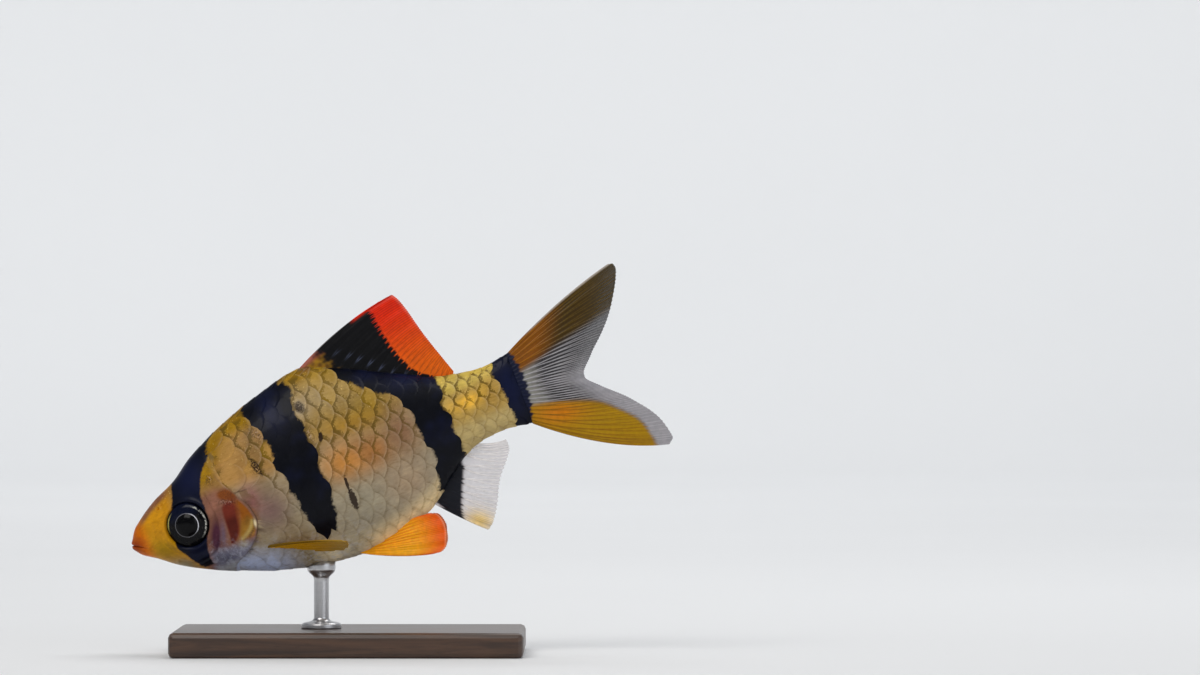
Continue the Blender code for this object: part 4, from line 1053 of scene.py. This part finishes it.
class Finish:
    """A procedural material, with the few kinds of node that the finishes here are made of."""

    def __init__(self, name):
        self.material = bpy.data.materials.new(name)
        self.material.use_nodes = True
        self.tree = self.material.node_tree
        self.where = self.put("TexCoord", {}, 3)

    def fill(self, node, inputs):
        """Links or sets a node's inputs. Colours get an alpha of 1."""
        for key, value in inputs.items():
            socket = node.inputs[key]
            if isinstance(value, bpy.types.NodeSocket):
                self.tree.links.new(value, socket)
            else:
                socket.default_value = (*value, 1.0) if socket.type == "RGBA" else value

    def put(self, kind, inputs, output=0, **settings):
        """Adds a node and reads one of its outputs."""
        node = self.tree.nodes.new("ShaderNode" + kind)
        for key, value in settings.items():
            setattr(node, key, value)
        self.fill(node, inputs)
        return node.outputs[output]

    def read(self, name, output=2):
        """A value of the mesh, or with output 0 a colour."""
        return self.put("Attribute", {}, output, attribute_name=name)

    def math(self, operation, first, second=0.0, third=0.0):
        """What an operation makes of up to three values."""
        return self.put("Math", {0: first, 1: second, 2: third}, operation=operation)

    def times(self, first, second):
        """The product of two values."""
        return self.math("MULTIPLY", first, second)

    def line(self, value, slope, start):
        """A straight line: the value times slope, plus start."""
        return self.math("MULTIPLY_ADD", value, slope, start)

    def roughened(self, value, noise, share):
        """A value moved up and down by a share of a noise."""
        return self.line(self.math("SUBTRACT", noise, 0.5), share, value)

    def step(self, value, low, high):
        """A smooth step of a value, from 0 at low to 1 at high."""
        inputs = {"Value": value, "From Min": low, "From Max": high}
        return self.put("MapRange", inputs, interpolation_type="SMOOTHSTEP")

    def both(self, first, second):
        """The product of two smooth steps."""
        return self.times(self.step(*first), self.step(*second))

    def noise(self, scale, detail=2.0, roughness=0.5, distortion=0.0, where=None):
        """Noise over the piece's own coordinates or others. Three scales stretch it along the axes."""
        where = self.where if where is None else where
        if isinstance(scale, tuple):
            where = self.put("Mapping", {"Vector": where, "Scale": scale})
            scale = 1.0
        return self.put("TexNoise", {
            "Vector": where, "Scale": scale, "Detail": detail, "Roughness": roughness,
            "Distortion": distortion,
        })

    def mix(self, share, first, second, blend="MIX"):
        """The first colour and the second laid over it, or blended with it, by a share."""
        return self.put("Mix", {0: share, 6: first, 7: second}, 2, data_type="RGBA", blend_type=blend)

    def painted(self, ground, *layers):
        """Lays each (share, strength, colour) over what is below it."""
        for share, strength, shade in layers:
            ground = self.mix(self.times(share, strength), ground, shade)
        return ground

    def toned(self, ground, tone):
        """A colour made lighter or darker by a value."""
        return self.mix(1.0, ground, self.put("CombineColor", {0: tone, 1: tone, 2: tone}), "MULTIPLY")

    def relief(self, height, strength, distance):
        """The shading normal of a surface raised by a height."""
        return self.put("Bump", {"Height": height, "Strength": strength, "Distance": distance})

    def shade(self, inputs):
        """Sets the shader, and hands over the material."""
        self.fill(self.tree.nodes["Principled BSDF"], inputs)
        return self.material


def dark_spot(look, grain, middle, reach, turn):
    """A small ragged mark on both sides of the fish: 1 where the distance from its middle, measured in its
    reaches along its own turned axes and roughened with noise, is less than about one."""
    place = to_world((middle[0], 0.0, middle[1]))
    own = look.put("Mapping", {
        "Vector": look.where, "Location": tuple(map(float, place)), "Rotation": (0.0, -NOSE_DOWN - turn, 0.0),
        "Scale": (reach[0] * MM, 1.0, reach[1] * MM),
    }, vector_type="TEXTURE")
    distance = look.put("VectorMath", {0: own}, 1, operation="LENGTH")
    return look.step(look.roughened(distance, grain, 1.3), 1.15, 0.75)


def skin_material(name, scaled):
    """Wet fish skin: the painted ground with fine mottling, gold glitter that is painted glints, peppered
    patches, foil on the belly, the dark spots and the blue-black bars, whose navy is partly a painted blue
    sheen.
    Scales have a dark dash where they come out from under the next, a painted shadow just behind the free
    edges in front, a paler free edge that is partly a painted highlight, and a tone of their own."""
    look = Finish(name)
    paint = look.read("paint", 0)
    bar, silver, share, speckle = [look.read(word) for word in ("bar", "silver", "share", "speckle")]
    cloud = look.noise(520.0, 3.0, 0.6)
    grain = look.noise(2600.0, 3.0, 0.65)
    fine = look.noise(5200.0)
    level = look.put("Mapping", {"Vector": look.where, "Rotation": (0.0, NOSE_DOWN, 0.0)})
    strand = look.noise((800.0, 3600.0, 3600.0), 3.0, 0.6, where=level)
    ground = look.mix(look.step(cloud, 0.38, 0.66), paint, (0.80, 0.73, 0.58), "MULTIPLY")
    ground = look.mix(0.35, paint, ground)
    ground = look.mix(look.step(cloud, 0.54, 0.40), ground, (1.10, 1.09, 1.05), "MULTIPLY")
    ground = look.mix(look.step(strand, 0.50, 0.30), ground, (0.86, 0.83, 0.77), "MULTIPLY")
    ground = look.mix(look.step(strand, 0.54, 0.72), ground, (1.14, 1.13, 1.09), "MULTIPLY")
    ground = look.painted(
        ground,
        (look.both((grain, 0.58, 0.68), (share, 0.0, 0.8)), 0.4, (0.15, 0.08, 0.012)),
        # Gold glitter: painted glints on the upper body.
        (look.both((fine, 0.65, 0.70), (share, -0.1, 0.8)), 0.5, (0.85, 0.62, 0.20)),
        (look.times(speckle, look.step(fine, 0.50, 0.56)), 0.85, (0.035, 0.012, 0.012)),
        (look.both((speckle, 0.5, 0.8), (fine, 0.44, 0.38)), 0.4, (0.55, 0.42, 0.36)),
    )
    if scaled:
        along, across, draw, past = [look.read(word) for word in ("along", "across", "draw", "past")]
        rough_past = look.roughened(past, grain, 0.42)
        # The paler free edge: partly the scale's own colour, partly a painted highlight.
        edge = look.both((look.roughened(along, grain, 0.12), 0.90, 0.98), (cloud, 0.40, 0.60))
        dash = look.both((look.roughened(rough_past, fine, 0.5), 0.27, 0.15),
                         (look.math("ABSOLUTE", across), 0.75, 0.35))
        dash = look.times(dash, look.step(share, -0.4, 0.3))
        dash = look.times(dash, look.line(draw, 0.5, 0.65))
        # Painted shadow just behind the free edges of the scales in front.
        shadow = look.times(look.step(rough_past, 0.22, 0.02), 0.35)
        ground = look.mix(shadow, ground, (0.55, 0.45, 0.30), "MULTIPLY")
        ground = look.painted(
            ground,
            (dash, 0.85, (0.105, 0.062, 0.005)),
            (edge, 0.14, (0.66, 0.54, 0.36)),
            (look.both((draw, 0.55, 0.9), (share, 0.05, 0.5)), 0.3, (0.46, 0.26, 0.01)),
        )
        ground = look.toned(ground, look.line(draw, 0.14, 0.95))
    foil = look.noise(1300.0, 4.0, 0.65, 0.5)
    foil_share = look.times(look.step(foil, 0.46, 0.64), silver)
    veins = look.times(look.step(foil, 0.44, 0.32), silver)
    ground = look.painted(ground, (foil_share, 0.28, (0.66, 0.70, 0.84)), (veins, 0.35, (0.14, 0.16, 0.25)))
    for middle, reach, turn, broken in DARK_SPOTS:
        whole = look.line(look.step(fine, 0.52, 0.44), -broken, 1.0)
        spot = look.times(dark_spot(look, grain, middle, reach, turn), whole)
        ground = look.painted(ground, (spot, 0.93, (0.022, 0.011, 0.007)))
    ragged_by = 0.45 if scaled else 0.3
    ragged_bar = look.roughened(look.roughened(bar, cloud, ragged_by), grain, ragged_by)
    # The blue-black of the bars, with a painted blue sheen: a little by noise, and more in the navy patches.
    sheen = look.step(look.noise(260.0), 0.45, 0.75)
    night = look.mix(sheen, (0.0015, 0.002, 0.005), (0.004, 0.006, 0.024))
    night = look.mix(look.read("navy"), night, (0.005, 0.008, 0.035))
    return look.shade({
        "Base Color": look.mix(look.step(ragged_bar, -0.14, 0.12), ground, night),
        "Roughness": look.line(cloud, 0.2, 0.3), "Normal": look.relief(look.times(grain, 0.35), 0.3, 0.00006),
        "Metallic": look.times(foil_share, 0.15), "Specular IOR Level": 0.1, "Coat Weight": 0.06,
        "Coat Roughness": 0.08,
    })


def fin_material():
    """Thin wet membrane: the painted colours with fine mottling, as clear as the alpha attribute says."""
    look = Finish("fin_membrane")
    grain = look.noise(1900.0, 3.0, 0.6)
    return look.shade({
        "Base Color": look.toned(look.read("paint", 0), look.line(grain, 0.5, 0.75)),
        "Alpha": look.read("alpha"), "Normal": look.relief(grain, 0.25, 0.00006),
        "Roughness": look.line(grain, 0.2, 0.32), "Specular IOR Level": 0.14, "Coat Weight": 0.06,
        "Coat Roughness": 0.15,
    })


def eye_material():
    """Black pupil in a thin silver ring, brightest on its tailward side, where a highlight is painted; a near
    black iris with a broken silver arc behind, which is partly a painted highlight, a gold one ahead, and navy
    above."""
    look = Finish("eye_glass")
    radius, tailward, upward = [look.read(word) for word in ("radius", "tailward", "upward")]
    grain = look.noise(2400.0, 4.0, 0.7)
    rough_radius = look.line(grain, 0.10, radius)

    def ring(middle, width):
        """1 at a distance from the axis, falling to 0 within a width of it."""
        away = look.math("ABSOLUTE", look.math("SUBTRACT", rough_radius, middle))
        return look.step(away, width, width * 0.4)

    iris = look.mix(look.step(grain, 0.5, 0.8), (0.002, 0.002, 0.003), (0.018, 0.016, 0.010))
    iris = look.mix(look.step(upward, 0.2, 0.9), iris, (0.003, 0.005, 0.018))
    # The silver rings are the eye's own; their greater strength on the tailward side is a painted highlight.
    silver_and_highlight = look.line(look.step(tailward, 0.3, 0.95), 0.72, 0.16)
    behind = look.both((tailward, 0.42, 0.9), (grain, 0.40, 0.60))
    ahead = look.both((tailward, -0.5, -0.9), (upward, -0.2, 0.4))
    ground = look.painted(
        look.mix(look.step(radius, 1.34, 1.42), (0.0015, 0.0015, 0.002), iris),
        (ring(1.47, 0.07), silver_and_highlight, (0.72, 0.72, 0.78)),
        (ring(2.36, 0.13), behind, (0.66, 0.66, 0.60)),
        (ring(2.42, 0.12), ahead, (0.42, 0.40, 0.12)),
    )
    return look.shade({
        "Base Color": ground, "Roughness": 0.2, "Specular IOR Level": 0.05, "Coat Weight": 0.15,
        "Coat Roughness": 0.02,
    })


def wood_material():
    """Dark satin hardwood: long grain along X from a stretched noise, with fine pores."""
    look = Finish("dark_satin_wood")
    figure = look.noise((60.0, 900.0, 900.0), 5.0, 0.6, 0.6)
    pores = look.noise((400.0, 6000.0, 6000.0))
    ground = look.mix(look.step(figure, 0.3, 0.7), (0.030, 0.014, 0.008), (0.085, 0.040, 0.020))
    return look.shade({
        "Base Color": look.painted(ground, (look.step(pores, 0.6, 0.75), 0.6, (0.012, 0.006, 0.004))),
        "Roughness": look.line(figure, 0.2, 0.3), "Normal": look.relief(pores, 0.2, 0.00005),
        "Coat Weight": 0.25, "Coat Roughness": 0.25,
    })


def steel_material():
    """Satin steel with fine turning marks round the upright axis."""
    look = Finish("turned_steel")
    turning = look.noise((300.0, 300.0, 16000.0))
    return look.shade({
        "Base Color": look.mix(turning, (0.50, 0.50, 0.51), (0.66, 0.66, 0.67)), "Metallic": 1.0,
        "Roughness": look.line(turning, 0.2, 0.22), "Normal": look.relief(turning, 0.15, 0.00003),
    })


def floor():
    """A pale round floor with a low wall far from the stand: flat, a quarter circle, then upright. It is
    wide enough that a camera on any side stands inside it."""
    reach, radius, wall, around = 1.0, 0.25, 0.5, 96
    turn = np.linspace(0, math.pi / 2, 16)
    out = np.concatenate([[0.3, 0.7], reach + radius * np.sin(turn), [reach + radius]])[:, None]
    up = np.concatenate([[0, 0], radius * (1 - np.cos(turn)), [wall]])[:, None]
    angle = round_angles(around)
    rings = np.stack(np.broadcast_arrays(out * np.cos(angle), out * np.sin(angle), up), -1)
    points, quads, fans = capped(rings, (0, 0, 0), (0, 0, 0))
    look = Finish("pale_floor")
    cloud = look.noise(6.0)
    pale = look.mix(cloud, (0.76, 0.77, 0.78), (0.80, 0.81, 0.82))
    finish = look.shade({"Base Color": pale, "Roughness": 0.7})
    make_piece("floor", points[:-1], quads[:, ::-1], finish, fans[:around, ::-1])


def lights_and_camera():
    """Three large soft lamps round the fish, one for the wall behind it, a pale sky, and the camera of the
    photograph."""
    scene = bpy.context.scene
    fish = Vector((0.006, 0.0, 0.025))
    wall = Vector((0.0, 1.2, 0.15))
    lamps = (
        ("key", (-0.22, -0.45, 0.60), 0.45, 3.0, (1.0, 0.97, 0.93), fish),
        ("fill", (0.55, -0.55, 0.25), 0.6, 1.0, (0.93, 0.96, 1.0), fish),
        ("rim", (0.15, 0.16, 0.45), 0.3, 0.9, (1.0, 1.0, 1.0), fish),
        ("wall", (0.0, 0.7, 0.8), 0.7, 5.0, (1.0, 1.0, 1.0), wall),
    )
    for name, place, size, power, tint, target in lamps:
        lamp = bpy.data.lights.new(name, "AREA")
        lamp.size = size
        lamp.energy = power
        lamp.color = tint
        made = bpy.data.objects.new(name, lamp)
        made.location = place
        made.rotation_euler = (target - made.location).to_track_quat("-Z", "Y").to_euler()
        scene.collection.objects.link(made)
    scene.world = bpy.data.worlds.new("studio")
    scene.world.use_nodes = True
    sky = scene.world.node_tree.nodes["Background"].inputs
    sky["Color"].default_value = (0.80, 0.83, 0.88, 1)
    sky["Strength"].default_value = 0.26
    lens = bpy.data.cameras.new("camera")
    lens.lens = CAMERA_LENS
    lens.sensor_width = SENSOR_WIDTH
    lens.clip_start = 0.01
    scene.camera = bpy.data.objects.new("camera", lens)
    scene.camera.location = [value * MM for value in CAMERA_PLACE]
    scene.camera.rotation_euler = (math.pi / 2, 0, 0)
    scene.collection.objects.link(scene.camera)
    scene.view_settings.view_transform = "Standard"


def main():
    scaled_skin = skin_material("barb_scales", True)
    membrane = fin_material()
    glass = eye_material()
    skin(skin_material("barb_skin", False))
    ridge_scales(scaled_skin)
    for side, word in ((-1, "left"), (1, "right")):
        scale_coat(side, word, scaled_skin)
        eyeball(side, word, glass)
        pelvic_fin(side, word, membrane)
        pectoral_fin(side, word, membrane)
    dorsal_fin(membrane)
    tail_fin(membrane)
    anal_fin(membrane)
    stand_rod(steel_material())
    wood = wood_material()
    for place in bpy.data.objects["stand_base"].material_slots:
        place.material = wood
    floor()
    lights_and_camera()


main()
